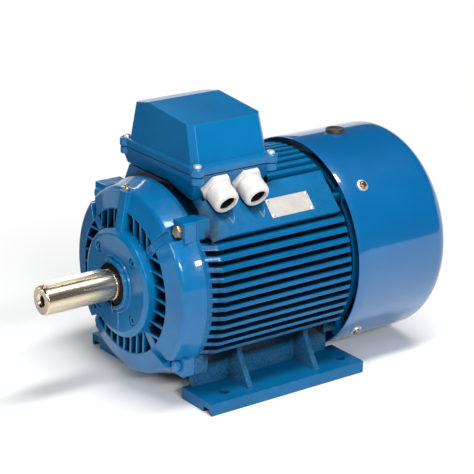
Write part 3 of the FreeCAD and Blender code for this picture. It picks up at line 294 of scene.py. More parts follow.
def overlay(tree, under, over, share):
    under, over = (v if isinstance(v, bpy.types.NodeSocket) else (*v, 1) for v in (under, over))
    return put(tree, "ShaderNodeMix", [(0, share), (6, under), (7, over)], out=2, data_type="RGBA")


def fromShaft(tree):
    # place along the shaft, and distance from its line
    x, y, z = splitUp(tree, put(tree, "ShaderNodeMapping",
                                [("Vector", objectPlace(tree)), ("Location", (0, 0, -shaftZ))]))
    return x, lengthOf(tree, put(tree, "ShaderNodeCombineXYZ", [("Y", y), ("Z", z)]))


def finShadeDepth(tree, s):
    # painted shade: nought deep between the fins, where the paint takes the shade colour; one at their tips and on
    # the rest of the frame
    x, radius = fromShaft(tree)
    return greatest(tree, ramped(tree, radius, s["inner"], s["outer"]),
                    ramped(tree, x, s["front"], s["front"] + s["soft"]))


def ribShadeDepth(tree, s):
    # painted shade: nought on the floor between the ribs of the shield, where the paint takes the shade colour;
    # one elsewhere
    x, radius = fromShaft(tree)
    return greatest(tree, ramped(tree, x, s["floor"], s["top"]),
                    ramped(tree, radius, s["high"], s["high"] + s["soft"]),
                    ramped(tree, radius, s["low"], s["low"] - s["soft"]))


def sandMask(tree, s):
    # one on the webs under the barrel, nought elsewhere
    z = splitUp(tree, objectPlace(tree))["Z"]
    off = greatest(tree, ramped(tree, z, s["high"], s["high"] + s["softAbove"]),
                   ramped(tree, z, s["low"], s["low"] - s["softBelow"]))
    return calc(tree, "SUBTRACT", 1.0, off)


def paintedCornerShade(tree, s):
    # painted shade: nought deep in a corner, one in the open
    nookShade = put(tree, "ShaderNodeAmbientOcclusion", [("Distance", s["reach"])], out="AO", samples=s["samples"])
    return ramped(tree, nookShade, s["from"], s["to"])


# painted shade in the grooves: radius and x limits in metres between which the paint goes dark
paintedFinShade = {"inner": 0.1405, "outer": 0.1535, "front": 0.128, "soft": 0.006, "colour": (0.0, 0.008, 0.022)}
paintedRibShade = {"floor": 0.173, "top": 0.1895, "low": 0.0765, "high": 0.1035, "soft": 0.002,
              "colour": (0.0, 0.005, 0.014)}
# rough sand skin on the webs between barrel and feet; its relief is real, its lighter specks are painted glints
sandSkin = {"low": 0.0195, "high": 0.084, "softAbove": 0.006, "softBelow": 0.0015, "scale": 520,
            "grainsFrom": 0.45, "grainsTo": 0.62, "depth": 0.0011, "speck": (0.06, 0.17, 0.30)}
# painted shade in the corners of the castings, under and between parts
paintedNookShade = {"reach": 0.04, "from": 0.12, "to": 0.45, "samples": 12, "colour": (0.0, 0.010, 0.024)}
# paints: coarse swell and fine grain are relief in metres
castPaint = {"colour": (0.0, 0.150, 0.365), "dark": (0.0, 0.108, 0.285),
             "patches": 11, "patchLimits": (0.32, 0.68),
             "rough": 0.36, "mottle": 0.07, "mottleScale": 90, "shine": 0.2,
             "coat": 0.6, "coatRough": 0.06, "coatIor": 1.52,
             "grain": 420, "grainDepth": 0.00016, "swell": 0.0009}
# the same blue as the casting paint, made darker on the finned frame: painted shade
finPaintDarkenedForShade = dict(castPaint, colour=(0.0, 0.128, 0.305), dark=(0.0, 0.088, 0.23), coat=0.15, swell=0.0008)
sheetPaint = dict(castPaint, colour=(0.0, 0.114, 0.31), dark=(0.0, 0.100, 0.28), rough=0.34, mottle=0,
                  shine=0.3, coat=1.0, coatIor=1.6, grain=900, grainDepth=0.000006, swell=0)
boxPaint = dict(castPaint, colour=(0.0, 0.142, 0.345), dark=(0.0, 0.112, 0.29), rough=0.34, mottle=0.03,
                coat=0.5, coatRough=0.08, coatIor=1.5, grain=520, grainDepth=0.00005, swell=0.0002)
# tan metallic patches for one bolt head: painted reflection
tanReflectionPatches = {"colour": (0.50, 0.36, 0.20), "scale": 160, "from": 0.36, "soft": 0.1, "edge": 0.01}


def paint(name, s, depth=None, grooveShade=None, sand=None, nookShade=None):
    mat, tree, shader = newMaterial(name)
    patches = noiseOf(tree, s["patches"], detail=5, roughness=0.6)
    colour = shades(tree, patches, s["dark"], s["colour"], s["patchLimits"])
    layers = [(noiseOf(tree, s["grain"] / 4, detail=2), 0.5, s["swell"])] if s["swell"] else []
    layers.append((noiseOf(tree, s["grain"]), 0.5, s["grainDepth"]))
    if sand:
        grains = noiseOf(tree, sand["scale"], detail=4, roughness=0.7)
        grains = ramped(tree, grains, sand["grainsFrom"], sand["grainsTo"])
        grains = calc(tree, "MULTIPLY", grains, sandMask(tree, sand))
        # lighter specks: painted glints on the rough skin
        colour = overlay(tree, colour, sand["speck"], grains)
        layers.append((grains, 0.8, sand["depth"]))
    # painted shade deep between the fins and the ribs
    if depth:
        colour = overlay(tree, grooveShade["colour"], colour, depth(tree, grooveShade))
    # painted shade in corners and under parts
    if nookShade:
        colour = overlay(tree, nookShade["colour"], colour, paintedCornerShade(tree, nookShade))
    tree.links.new(colour, shader.inputs["Base Color"])
    roughen(tree, shader, noiseOf(tree, s["mottleScale"], detail=4), s["rough"], s["mottle"])
    shader.inputs["Specular IOR Level"].default_value = s["shine"]
    shader.inputs["Coat Weight"].default_value = s["coat"]
    shader.inputs["Coat Roughness"].default_value = s["coatRough"]
    shader.inputs["Coat IOR"].default_value = s["coatIor"]
    bumpOf(tree, shader, layers)
    return mat


def boltPaintWithPaintedReflection(name, s, tanPatch):
    # blue paint with tan metallic patches, only on the bolt above and on the gland side: a painted reflection
    mat, tree, shader = newMaterial(name)
    x, y, z = splitUp(tree, objectPlace(tree))
    tanReflectionShare = calc(tree, "MULTIPLY", ramped(tree, y, 0, tanPatch["edge"]),
                ramped(tree, z, shaftZ, shaftZ + tanPatch["edge"]))
    reflectionSpots = ramped(tree, noiseOf(tree, tanPatch["scale"]), tanPatch["from"], tanPatch["from"] + tanPatch["soft"])
    tanReflectionShare = calc(tree, "MULTIPLY", tanReflectionShare, reflectionSpots)
    tree.links.new(overlay(tree, s["colour"], tanPatch["colour"], tanReflectionShare), shader.inputs["Base Color"])
    tree.links.new(tanReflectionShare, shader.inputs["Metallic"])
    shader.inputs["Roughness"].default_value = s["rough"]
    shader.inputs["Coat Weight"].default_value = s["coat"]
    bumpOf(tree, shader, [(noiseOf(tree, s["grain"]), 0.5, s["grainDepth"])])
    return mat


# what all plain metals, rubbers and plastics share
plainLook = {"patches": 60, "patchLimits": (0.35, 0.65), "darker": 0.84, "mottleScale": 140}


def plain(name, colour, rough, metal=0.0, grain=900, grainDepth=0.00004, stretch=(1, 1, 1), mottle=0.06,
          shine=0.5):
    s = plainLook
    mat, tree, shader = newMaterial(name)
    darker = tuple(c * s["darker"] for c in colour)
    shade = shades(tree, noiseOf(tree, s["patches"], stretch=stretch), darker, colour, s["patchLimits"])
    tree.links.new(shade, shader.inputs["Base Color"])
    roughen(tree, shader, noiseOf(tree, s["mottleScale"], stretch=stretch), rough, mottle)
    shader.inputs["Metallic"].default_value = metal
    shader.inputs["Specular IOR Level"].default_value = shine
    bumpOf(tree, shader, [(noiseOf(tree, grain, detail=2, stretch=stretch), 0.3, grainDepth)])
    return mat


finishes = {
    "blue_casting": paint("bluePaintOnCasting", castPaint),
    "blue_sheet": paint("bluePaintOnSheet", sheetPaint),
    "blue_box": paint("bluePaintOnBox", boxPaint),
    "painted_steel": paint("bluePaintOnScrews", castPaint),
    # darker streaks along the shaft: brushed grain, and partly painted reflection streaks
    "shaft_steel": plain("shaftSteel", (0.82, 0.70, 0.53), 0.27, metal=1.0, grain=500, grainDepth=0.00001,
                         stretch=(0.1, 4, 4), mottle=0.02),
    "bearing_steel": plain("bearingSteel", (0.75, 0.75, 0.76), 0.15, metal=1.0),
    "zinc_steel": plain("zincSteel", (0.86, 0.86, 0.84), 0.42, metal=0.8),
    "yellow_zinc": plain("yellowZinc", (0.42, 0.32, 0.20), 0.36, metal=1.0),
    "lamination": plain("lamination", (0.30, 0.30, 0.32), 0.5, metal=1.0, grain=2500, grainDepth=0.0001,
                        stretch=(4, 0.1, 0.1)),
    "rotor_aluminium": plain("rotorAluminium", (0.70, 0.71, 0.73), 0.4, metal=1.0),
    "winding_tape": plain("windingTape", (0.45, 0.34, 0.18), 0.6),
    "black_rubber": plain("blackRubber", (0.006, 0.006, 0.006), 0.75, shine=0.15),
    "grey_rubber": plain("greyRubber", (0.016, 0.015, 0.014), 0.7, shine=0.2),
    "grey_plastic": plain("glandPlastic", (0.70, 0.665, 0.655), 0.4),
    "black_plastic": plain("blackPlastic", (0.035, 0.034, 0.026), 0.4),
    "fan_plastic": plain("fanPlastic", (0.03, 0.03, 0.035), 0.5),
    "cage_plastic": plain("cagePlastic", (0.62, 0.52, 0.34), 0.5),
    "brass": plain("brass", (0.72, 0.53, 0.22), 0.3, metal=1.0),
    "plate_metal": plain("plateMetal", (0.53, 0.51, 0.49), 0.5, metal=0.3, grain=600, grainDepth=0.00001,
                         mottle=0.02),
}
for name, node in nodes.items():
    node.data.materials.clear()
    node.data.materials.append(finishes[slotOf[name]])
boltPaint = boltPaintWithPaintedReflection("wornPaintOnBolts", castPaint, tanReflectionPatches)
framePaint = paint("bluePaintOnFinnedFrame", finPaintDarkenedForShade, finShadeDepth, paintedFinShade, sandSkin, paintedNookShade)
shieldPaint = paint("bluePaintOnRibbedShield", castPaint, ribShadeDepth, paintedRibShade, nookShade=paintedNookShade)
print("finishes on all nodes")


# building blocks for pieces
def finishPiece(piece, node):
    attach(piece, bodyOf[node])
    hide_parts(node)


def applyAll(piece):
    graph = bpy.context.evaluated_depsgraph_get()
    mesh = bpy.data.meshes.new_from_object(piece.evaluated_get(graph))
    piece.modifiers.clear()
    piece.data = mesh


def smoothBy(mesh, degrees):
    mesh.shade_smooth()
    mesh.set_sharp_from_angle(angle=math.radians(degrees))


def editMesh(mesh, change, *settings):
    work = bmesh.new()
    work.from_mesh(mesh)
    change(work, *settings)
    work.to_mesh(mesh)
    work.free()


def roundEdges(piece, radius, edgeAngle, clamp, miter="MITER_SHARP"):
    bevel = piece.modifiers.new("edges", "BEVEL")
    bevel.width = radius * mm
    bevel.segments = 2
    bevel.limit_method = "ANGLE"
    bevel.angle_limit = math.radians(edgeAngle)
    bevel.use_clamp_overlap = clamp
    bevel.miter_outer = miter


# castings and machined pieces with rounded edges
# each has its CAD node, edge radius in mm and the smallest angle in degrees that counts as an edge
rounded = {
    "frameCasting": {"node": "frame_housing", "radius": 1.1, "edgeAngle": 24, "finish": framePaint},
    "driveShield": {"node": "shield_drive_end", "radius": 0.8, "edgeAngle": 30, "finish": shieldPaint},
    "boxBase": {"node": "terminal_box_base", "radius": 1.0, "edgeAngle": 28},
    "boxLid": {"node": "terminal_box_lid", "radius": 1.2, "edgeAngle": 14},
    "shaftEnd": {"node": "shaft", "radius": 0.4, "edgeAngle": 30},
    "shaftKey": {"node": "shaft_key", "radius": 0.5, "edgeAngle": 40},
    "bareNameplate": {"node": "nameplate", "radius": 0.25, "edgeAngle": 40},
}
# faces that meet at less than flatWithin degrees become one; shading is smooth up to smooth degrees
castingSkin = {"flatWithin": 0.6, "smooth": 32, "flatFaceWeight": 80}


def joinFaces(work, degrees):
    # a CAD mesh is loose triangles: they become one skin with whole flat faces
    bmesh.ops.remove_doubles(work, verts=work.verts, dist=merge)
    bmesh.ops.dissolve_limit(work, angle_limit=math.radians(degrees), verts=work.verts, edges=work.edges)


def roundedCopy(name, s):
    mesh = nodes[s["node"]].data.copy()
    mesh.name = name
    editMesh(mesh, joinFaces, castingSkin["flatWithin"])
    piece = addObject(name, mesh)
    roundEdges(piece, s["radius"], s["edgeAngle"], False, "MITER_ARC")
    applyAll(piece)
    smoothBy(piece.data, castingSkin["smooth"])
    weigh = piece.modifiers.new("flatFaces", "WEIGHTED_NORMAL")
    weigh.keep_sharp = True
    weigh.weight = castingSkin["flatFaceWeight"]
    applyAll(piece)
    piece.data.materials[0] = s.get("finish", finishes[slotOf[s["node"]]])
    finishPiece(piece, s["node"])
    print("rounded", name, len(piece.data.polygons), "faces")


for name, settings in rounded.items():
    roundedCopy(name, settings)


# building blocks for geometry nodes
def newTree(name, inputs):
    tree = bpy.data.node_groups.new(name, "GeometryNodeTree")
    tree.interface.new_socket("Geometry", in_out="OUTPUT", socket_type="NodeSocketGeometry")
    tree.interface.new_socket("Geometry", in_out="INPUT", socket_type="NodeSocketGeometry")
    for label, kind in inputs:
        tree.interface.new_socket(label, in_out="INPUT", socket_type="NodeSocket" + kind)
    source = tree.nodes.new("NodeGroupInput").outputs
    return tree, {s.name: s for s in source if s.name}


def wholeAndRest(tree, number, size):
    # how often size goes into a whole number, and what is left
    whole = calc(tree, "FLOOR", calc(tree, "DIVIDE", calc(tree, "ADD", number, 0.5), size))
    return whole, calc(tree, "SUBTRACT", number, calc(tree, "MULTIPLY", whole, size))


def profilePoint(tree, profile, row):
    position = put(tree, "GeometryNodeInputPosition")
    spot = put(tree, "GeometryNodeSampleIndex", [("Geometry", profile), ("Value", position), ("Index", row)],
               data_type="FLOAT_VECTOR")
    return splitUp(tree, spot)


def endTree(tree, geometry, material):
    real = put(tree, "GeometryNodeRealizeInstances", [("Geometry", geometry)])
    done = put(tree, "GeometryNodeSetMaterial", [("Geometry", real), ("Material", material)])
    out = tree.nodes.new("NodeGroupOutput")
    tree.links.new(done, out.inputs[0])


def turnFacesOut(work):
    bmesh.ops.recalc_face_normals(work, faces=work.faces)


def runTree(name, tree, mesh, outline, values):
    # outline points go to the tree on a helper object, which is removed again
    line = bpy.data.meshes.new(name + "Outline")
    line.from_pydata(outline, [], [])
    guide = addObject(name + "Outline", line)
    values["Profile"] = guide
    piece = addObject(name, mesh)
    modifier = piece.modifiers.new("make", "NODES")
    modifier.node_group = tree
    for item in tree.interface.items_tree:
        if item.in_out == "INPUT" and item.name in values:
            modifier[item.identifier] = values[item.name]
    applyAll(piece)
    bpy.data.objects.remove(guide)
    editMesh(piece.data, turnFacesOut)
    return piece


# turned pieces: a profile swept round, with hexagon rings and a slot, set on points
# lengths in metres; a hexagon's crown slopes at 30 degrees
turnedRule = {"crownSlope": 0.577, "closeWithin": 0.000002, "cutterLength": 0.1, "cutterHeight": 0.02}


def turnedTree(s):
    tree, given = newTree("turnedSet", [("Profile", "Object"), ("Segments", "Int"), ("Sides", "Float"),
                                        ("Slot Width", "Float"), ("Slot Floor", "Float"),
                                        ("Turn Spread", "Float"), ("Seed", "Int"), ("Material", "Material")])
    profile = put(tree, "GeometryNodeObjectInfo", [("Object", given["Profile"])], out="Geometry")
    rows = put(tree, "GeometryNodeAttributeDomainSize", [("Geometry", profile)], out="Point Count")
    columns = calc(tree, "ADD", given["Segments"], 1.0)
    grid = put(tree, "GeometryNodeMeshGrid", [("Vertices X", columns), ("Vertices Y", rows)])
    column, row = wholeAndRest(tree, put(tree, "GeometryNodeInputIndex"), rows)
    angle = calc(tree, "MULTIPLY", calc(tree, "DIVIDE", column, given["Segments"]), math.tau)
    radius, flat, height = profilePoint(tree, profile, row)  # y tells how much a ring is a hexagon
    wedge = calc(tree, "DIVIDE", math.tau, given["Sides"])
    half = calc(tree, "DIVIDE", wedge, 2.0)
    off = calc(tree, "SUBTRACT", calc(tree, "FLOORED_MODULO", angle, wedge), half)
    longer = calc(tree, "SUBTRACT", calc(tree, "DIVIDE", 1.0, calc(tree, "COSINE", off)), 1.0)
    grow = calc(tree, "MULTIPLY", calc(tree, "GREATER_THAN", flat, 0.5), longer)
    reach = calc(tree, "MULTIPLY", radius, calc(tree, "ADD", 1.0, grow))
    crown = calc(tree, "MULTIPLY", calc(tree, "GREATER_THAN", flat, 1.5), s["crownSlope"])
    drop = calc(tree, "MULTIPLY", calc(tree, "SUBTRACT", reach, radius), crown)
    place = put(tree, "ShaderNodeCombineXYZ",
                [("X", calc(tree, "MULTIPLY", reach, calc(tree, "COSINE", angle))),
                 ("Y", calc(tree, "MULTIPLY", reach, calc(tree, "SINE", angle))),
                 ("Z", calc(tree, "SUBTRACT", height, drop))])
    moved = put(tree, "GeometryNodeSetPosition", [("Geometry", grid), ("Position", place)])
    closed = put(tree, "GeometryNodeMergeByDistance", [("Geometry", moved), ("Distance", s["closeWithin"])])
    cutterSize = put(tree, "ShaderNodeCombineXYZ",
                     [("X", s["cutterLength"]), ("Y", given["Slot Width"]), ("Z", s["cutterHeight"])])
    cutterMiddle = calc(tree, "ADD", given["Slot Floor"], s["cutterHeight"] / 2)
    cutter = put(tree, "GeometryNodeTransform",
                 [("Geometry", put(tree, "GeometryNodeMeshCube", [("Size", cutterSize)])),
                  ("Translation", put(tree, "ShaderNodeCombineXYZ", [("Z", cutterMiddle)]))])
    slotted = put(tree, "GeometryNodeMeshBoolean", [("Mesh 1", closed), ("Mesh 2", cutter)],
                  operation="DIFFERENCE", solver="EXACT")
    hasSlot = calc(tree, "GREATER_THAN", given["Slot Width"], 0.0)
    shape = put(tree, "GeometryNodeSwitch", [("Switch", hasSlot), ("False", closed), ("True", slotted)],
                input_type="GEOMETRY")
    aim = put(tree, "GeometryNodeInputNamedAttribute", [("Name", "aim")], data_type="FLOAT_VECTOR")
    clock = put(tree, "GeometryNodeInputNamedAttribute", [("Name", "clock")], data_type="FLOAT")
    loose = put(tree, "FunctionNodeRandomValue", [(3, given["Turn Spread"]), ("Seed", given["Seed"])], out=1,
                data_type="FLOAT")
    along = put(tree, "FunctionNodeAlignRotationToVector", [("Vector", aim)], axis="Z")
    about = put(tree, "FunctionNodeAxisAngleToRotation",
                [("Axis", (0, 0, 1)), ("Angle", calc(tree, "ADD", clock, loose))])
    turn = put(tree, "FunctionNodeRotateRotation", [("Rotation", along), ("Rotate By", about)],
               rotation_space="LOCAL")
    copies = put(tree, "GeometryNodeInstanceOnPoints",
                 [("Points", given["Geometry"]), ("Instance", shape), ("Rotation", turn)])
    endTree(tree, copies, given["Material"])
    return tree


turned = turnedTree(turnedRule)


def pointMesh(name, places, aims, clocks):
    mesh = bpy.data.meshes.new(name)
    mesh.from_pydata([tuple(p) for p in places], [], [])
    for label, kind, field, values in (("aim", "FLOAT_VECTOR", "vector", aims),
                                       ("clock", "FLOAT", "value", clocks)):
        layer = mesh.attributes.new(label, kind, "POINT")
        for i, value in enumerate(values):
            setattr(layer.data[i], field, value)
    return mesh


def turnedSet(name, s, places, aims):
    # profile points: radius, height in mm, and 0 round, 1 hexagon or 2 hexagon with a sloping crown
    outline = [(p[0] * mm, p[2] if len(p) > 2 else 0, p[1] * mm) for p in s["profile"]]
    points = pointMesh(name, places, aims, s.get("clocks", [0] * len(places)))
    piece = runTree(name, turned, points, outline,
                    {"Segments": s["segments"], "Sides": s.get("sides", 6.0),
                     "Slot Width": s.get("slot", 0.0) * mm, "Slot Floor": s.get("slotFloor", 0.0) * mm,
                     "Turn Spread": s.get("spread", 0.0), "Seed": s.get("seed", 1),
                     "Material": s.get("finish", finishes[slotOf[s["node"]]])})
    smoothBy(piece.data, s.get("smooth", 35))
    finishPiece(piece, s["node"])
    print("turned", name, len(places), "copies,", len(piece.data.polygons), "faces")


def topOf(s):
    return max(p[1] for p in s["profile"])


def footOf(s):
    return min(p[1] for p in s["profile"])


def rimOf(s):
    return max(p[0] for p in s["profile"])


def roundShaft(x, radius):
    # four places at 45 degrees round the shaft line, in mm
    return [Vector((x * mm, 0, shaftZ)) + d * radius * mm for d in diagonals]


# hexagon bolts that hold the shields
shieldBolt = {"node": "shield_bolts_drive", "circle": 139.0, "sides": 6.0, "segments": 72, "spread": 1.0,
              "seed": 4, "clocks": [0.2, 0.5, 0.9, 0.35], "finish": boltPaint,
              "profile": [(0, 6.1), (4.2, 6.1), (4.6, 6.4), (6.9, 6.4), (8.0, 5.75, 2), (8.0, 0.6, 1),
                          (7.5, 0.6), (7.5, 0.0), (5.0, 0.0), (5.0, -39.0), (4.2, -39.9), (0, -39.9)]}
shieldBoltSeat = boxOf(shieldBolt["node"])[1].x - topOf(shieldBolt)
turnedSet("shieldBolts", shieldBolt, roundShaft(shieldBoltSeat, shieldBolt["circle"]), [(1, 0, 0)] * 4)

fanBolt = {"node": "shield_bolts_fan", "circle": 134.0, "sides": 6.0, "segments": 72, "spread": 1.0,
           "seed": 9, "clocks": [0.1, 0.4, 0.8, 0.3], "shorter": 6.0}
fanBolt["profile"] = [(r, h + fanBolt["shorter"] if h < -1 else h, *rest)
                      for r, h, *rest in shieldBolt["profile"]]
fanBoltSeat = boxOf(fanBolt["node"])[0].x + topOf(fanBolt)
turnedSet("shieldBoltsRear", fanBolt, roundShaft(fanBoltSeat, fanBolt["circle"]), [(-1, 0, 0)] * 4)

# socket-head screws in the hub of the drive-end shield
coverScrew = {"node": "cover_bolts_drive", "sides": 6.0, "segments": 48, "spread": 1.0, "seed": 2,
              "clocks": [0.0, 0.4, 0.8, 0.2],
              "profile": [(0, 3.6), (3.0, 4.0, 1), (3.0, 7.8, 1), (3.5, 8.0), (5.9, 8.0), (6.35, 7.75),
                          (6.5, 7.3), (6.5, 0.2), (6.3, 0.0), (4.0, 0.0), (4.0, -34.2), (3.2, -35.0),
                          (0, -35.0)]}
coverHigh = boxOf(coverScrew["node"])[1]
coverCircle = (coverHigh.y - rimOf(coverScrew)) * math.sqrt(2)
coverSeat = coverHigh.x - topOf(coverScrew)
turnedSet("coverScrews", coverScrew, roundShaft(coverSeat, coverCircle), [(1, 0, 0)] * 4)

# pan-head screws and bright washers on the cowl
cowlScrew = {"node": "cowl_screws", "slot": 1.4, "slotFloor": 2.2, "segments": 40, "spread": 3.0, "seed": 7,
             "clocks": [0.6, 0.2, 1.1, 0.4],
             "profile": [(0, 3.6), (2.6, 3.55), (4.1, 3.3), (5.0, 2.7), (5.4, 1.9), (5.5, 1.0), (5.5, 0.1),
                         (5.4, 0.0), (3.0, 0.0), (3.0, -17.4), (2.4, -18.0), (0, -18.0)]}
cowlWasher = {"node": "cowl_washers", "segments": 64,
              "profile": [(3.3, 0.0), (3.3, 1.5), (3.5, 1.6), (8.4, 1.6), (8.8, 1.45), (9.0, 1.1),
                          (9.0, -0.25), (3.3, -0.25), (3.3, 0.0)]}
cowlLow, cowlHigh = boxOf("fan_cowl")
cowlRadius = (cowlHigh.z - cowlLow.z) / 2
cowlScrewX = middleOf(cowlScrew["node"]).x
turnedSet("cowlScrews", cowlScrew, roundShaft(cowlScrewX, cowlRadius + topOf(cowlWasher)), diagonals)
turnedSet("cowlWashers", cowlWasher, roundShaft(cowlScrewX, cowlRadius), diagonals)

# plug on top of the cowl
cowlPlug = {"node": "cowl_plug", "segments": 64,
            "profile": [(0, 4.6), (8.5, 4.6), (9.2, 5.0), (13.2, 5.0), (14.1, 4.75), (14.5, 4.1),
                        (14.5, -0.6), (10.9, -0.6), (10.9, -4.2), (12.2, -4.4), (12.5, -4.9), (9.2, -7.2),
                        (0, -7.2)]}
plugPlace = Vector((middleOf(cowlPlug["node"]).x, 0, cowlHigh.z)) * mm
turnedSet("cowlPlug", cowlPlug, [plugPlace], [(0, 0, 1)])

# slotted screws of the lid
lidScrew = {"node": "lid_screws", "slot": 1.3, "slotFloor": 2.7, "segments": 40, "spread": 3.0, "seed": 5,
            "clocks": [0.5, 1.4, 0.9, 2.0],
            "profile": [(0, 4.2), (3.4, 4.15), (4.6, 3.9), (5.3, 3.3), (5.55, 2.5), (5.55, 0.1), (5.45, 0.0),
                        (3.0, 0.0), (3.0, -19.4), (2.4, -20.0), (0, -20.0)]}
lidMiddle = middleOf(lidScrew["node"])
lidHead = Vector((rimOf(lidScrew), rimOf(lidScrew), topOf(lidScrew)))
lidReach = boxOf(lidScrew["node"])[1] - lidMiddle - lidHead
lidPlaces = [(lidMiddle + lidReach * Vector((sx, sy, 1))) * mm for sx in (1, -1) for sy in (1, -1)]
turnedSet("lidScrews", lidScrew, lidPlaces, [(0, 0, 1)] * 4)

# round-head rivets in the corners of the nameplate
rivet = {"node": "nameplate_rivets", "plateThickness": 0.8, "inset": 3.2, "segments": 24,
         "profile": [(0, 1.1), (1.1, 1.05), (2.0, 0.8), (2.7, 0.4), (3.0, 0.0), (1.5, 0.0), (1.5, -6.8),
                     (0, -6.8)]}
padOut, padSide = diagonals[0], diagonals[3]
plateLow, plateHigh = boxOf("nameplate")
plateTop = (plateLow + plateHigh) / 2 + padOut * rivet["plateThickness"] / 2
rivetX = (plateHigh.x - plateLow.x) / 2 - rivet["inset"]
rivetSide = ((plateHigh.y - plateLow.y) * math.sqrt(2) - rivet["plateThickness"]) / 2 - rivet["inset"]
rivetPlaces = [(plateTop + Vector((sx * rivetX, 0, 0)) + padSide * sy * rivetSide) * mm
               for sx in (1, -1) for sy in (1, -1)]
turnedSet("plateRivets", rivet, rivetPlaces, [padOut] * 4)

# grease nipple
nipple = {"node": "grease_nipple", "sides": 6.0, "segments": 36, "clocks": [0.1],
          "profile": [(0.8, 6.0), (0.8, 9.4), (1.4, 9.5), (2.4, 9.1), (2.9, 8.2), (2.9, 7.4), (2.3, 6.3),
                      (2.3, 5.2), (3.2, 4.0), (3.9, 3.5), (4.5, 3.2, 2), (4.5, 0.0, 1), (3.0, 0.0),
                      (3.0, -6.4), (2.4, -7.0), (0.8, -7.0), (0.8, 6.0)]}
nippleSeat = boxOf(nipple["node"])[0].z - footOf(nipple)
turnedSet("greaseNipple", nipple, [Vector((middleOf(nipple["node"]).x, 0, nippleSeat)) * mm], [(0, 0, 1)])

# cable glands on the slanted wall; a cable entry of the record lies entryOut from the wall
gland = {"node": "gland_bodies", "entryOut": 18.65, "sides": 6.0, "segments": 72,
         "profile": [(13.5, -8.0), (15.6, -8.0), (16.0, -7.5), (16.0, 0.0), (20.2, 0.0, 1), (21.0, 0.5, 1),
                     (21.0, 7.7, 2), (19.7, 8.5), (19.0, 9.0), (18.0, 9.0), (18.0, 20.6), (17.6, 21.0),
                     (13.5, 21.0), (13.5, -8.0)]}
glandCap = {"node": "gland_caps", "start": 9.3, "segments": 72, "smooth": 28,
            "profile": [(18.1, 0.0), (18.9, 0.0), (19.4, 0.4), (19.5, 1.0), (19.45, 4.0), (19.2, 4.5),
                        (19.5, 5.0), (19.5, 20.4), (19.2, 22.6), (18.4, 24.4), (17.1, 25.8), (15.4, 26.7),
                        (13.6, 27.0), (12.6, 27.0), (12.2, 26.8), (12.0, 26.4), (12.0, 23.0), (13.0, 23.0),
                        (13.5, 22.5), (13.5, 12.5), (18.1, 12.5), (18.1, 0.0)]}
entries = [m for m in record["mounts"] if m["name"].startswith("cable_entry")]
glandAims = [Vector(m["axis"]).normalized() for m in entries]
glandSeats = [Vector(m["pos_m"]) - aim * gland["entryOut"] * mm for m, aim in zip(entries, glandAims)]
capSeats = [seat + aim * glandCap["start"] * mm for seat, aim in zip(glandSeats, glandAims)]
turnedSet("glandBodies", gland, glandSeats, glandAims)
turnedSet("glandCaps", glandCap, capSeats, glandAims)


# fan cowl: a pressed sheet with ring slots between six spokes, closed by a small round boss
cowl = {"node": "fan_cowl", "front": cowlHigh.x, "back": cowlLow.x, "radius": cowlRadius, "sheet": 2.0,
        "bend": 25.0, "bendSteps": 9, "wallSteps": 8, "rings": 6, "pitch": 17.0, "slot": 9.5, "first": 36.0,
        "hub": 16.0, "boss": 5.5, "spokes": 6, "spokeWidth": 10.0, "sectorSteps": 26,
        "spokeLimit": 0.45,  # sine of half a spoke's widest angle, so that the spokes fit side by side
        "edgeRadius": 0.5, "edgeAngle": 50, "smooth": 35}


def cowlOutline(s):
    # x, radius and whether the strip that starts here is a slotted ring
    wallEnd = s["back"] + s["bend"]
    points = [(s["front"] + (wallEnd - s["front"]) * i / s["wallSteps"], s["radius"], 0)
              for i in range(s["wallSteps"] + 1)]
    for i in range(1, s["bendSteps"] + 1):
        a = math.pi / 2 * i / s["bendSteps"]
        points.append((wallEnd - s["bend"] * math.sin(a), s["radius"] - s["bend"] * (1 - math.cos(a)), 0))
    for i in reversed(range(s["rings"])):
        middle = s["first"] + i * s["pitch"]
        points.append((s["back"], middle + s["slot"] / 2, 1))
        points.append((s["back"], middle - s["slot"] / 2, 0))
    return points + [(s["back"], s["hub"], 0), (s["back"], s["boss"], 0)]


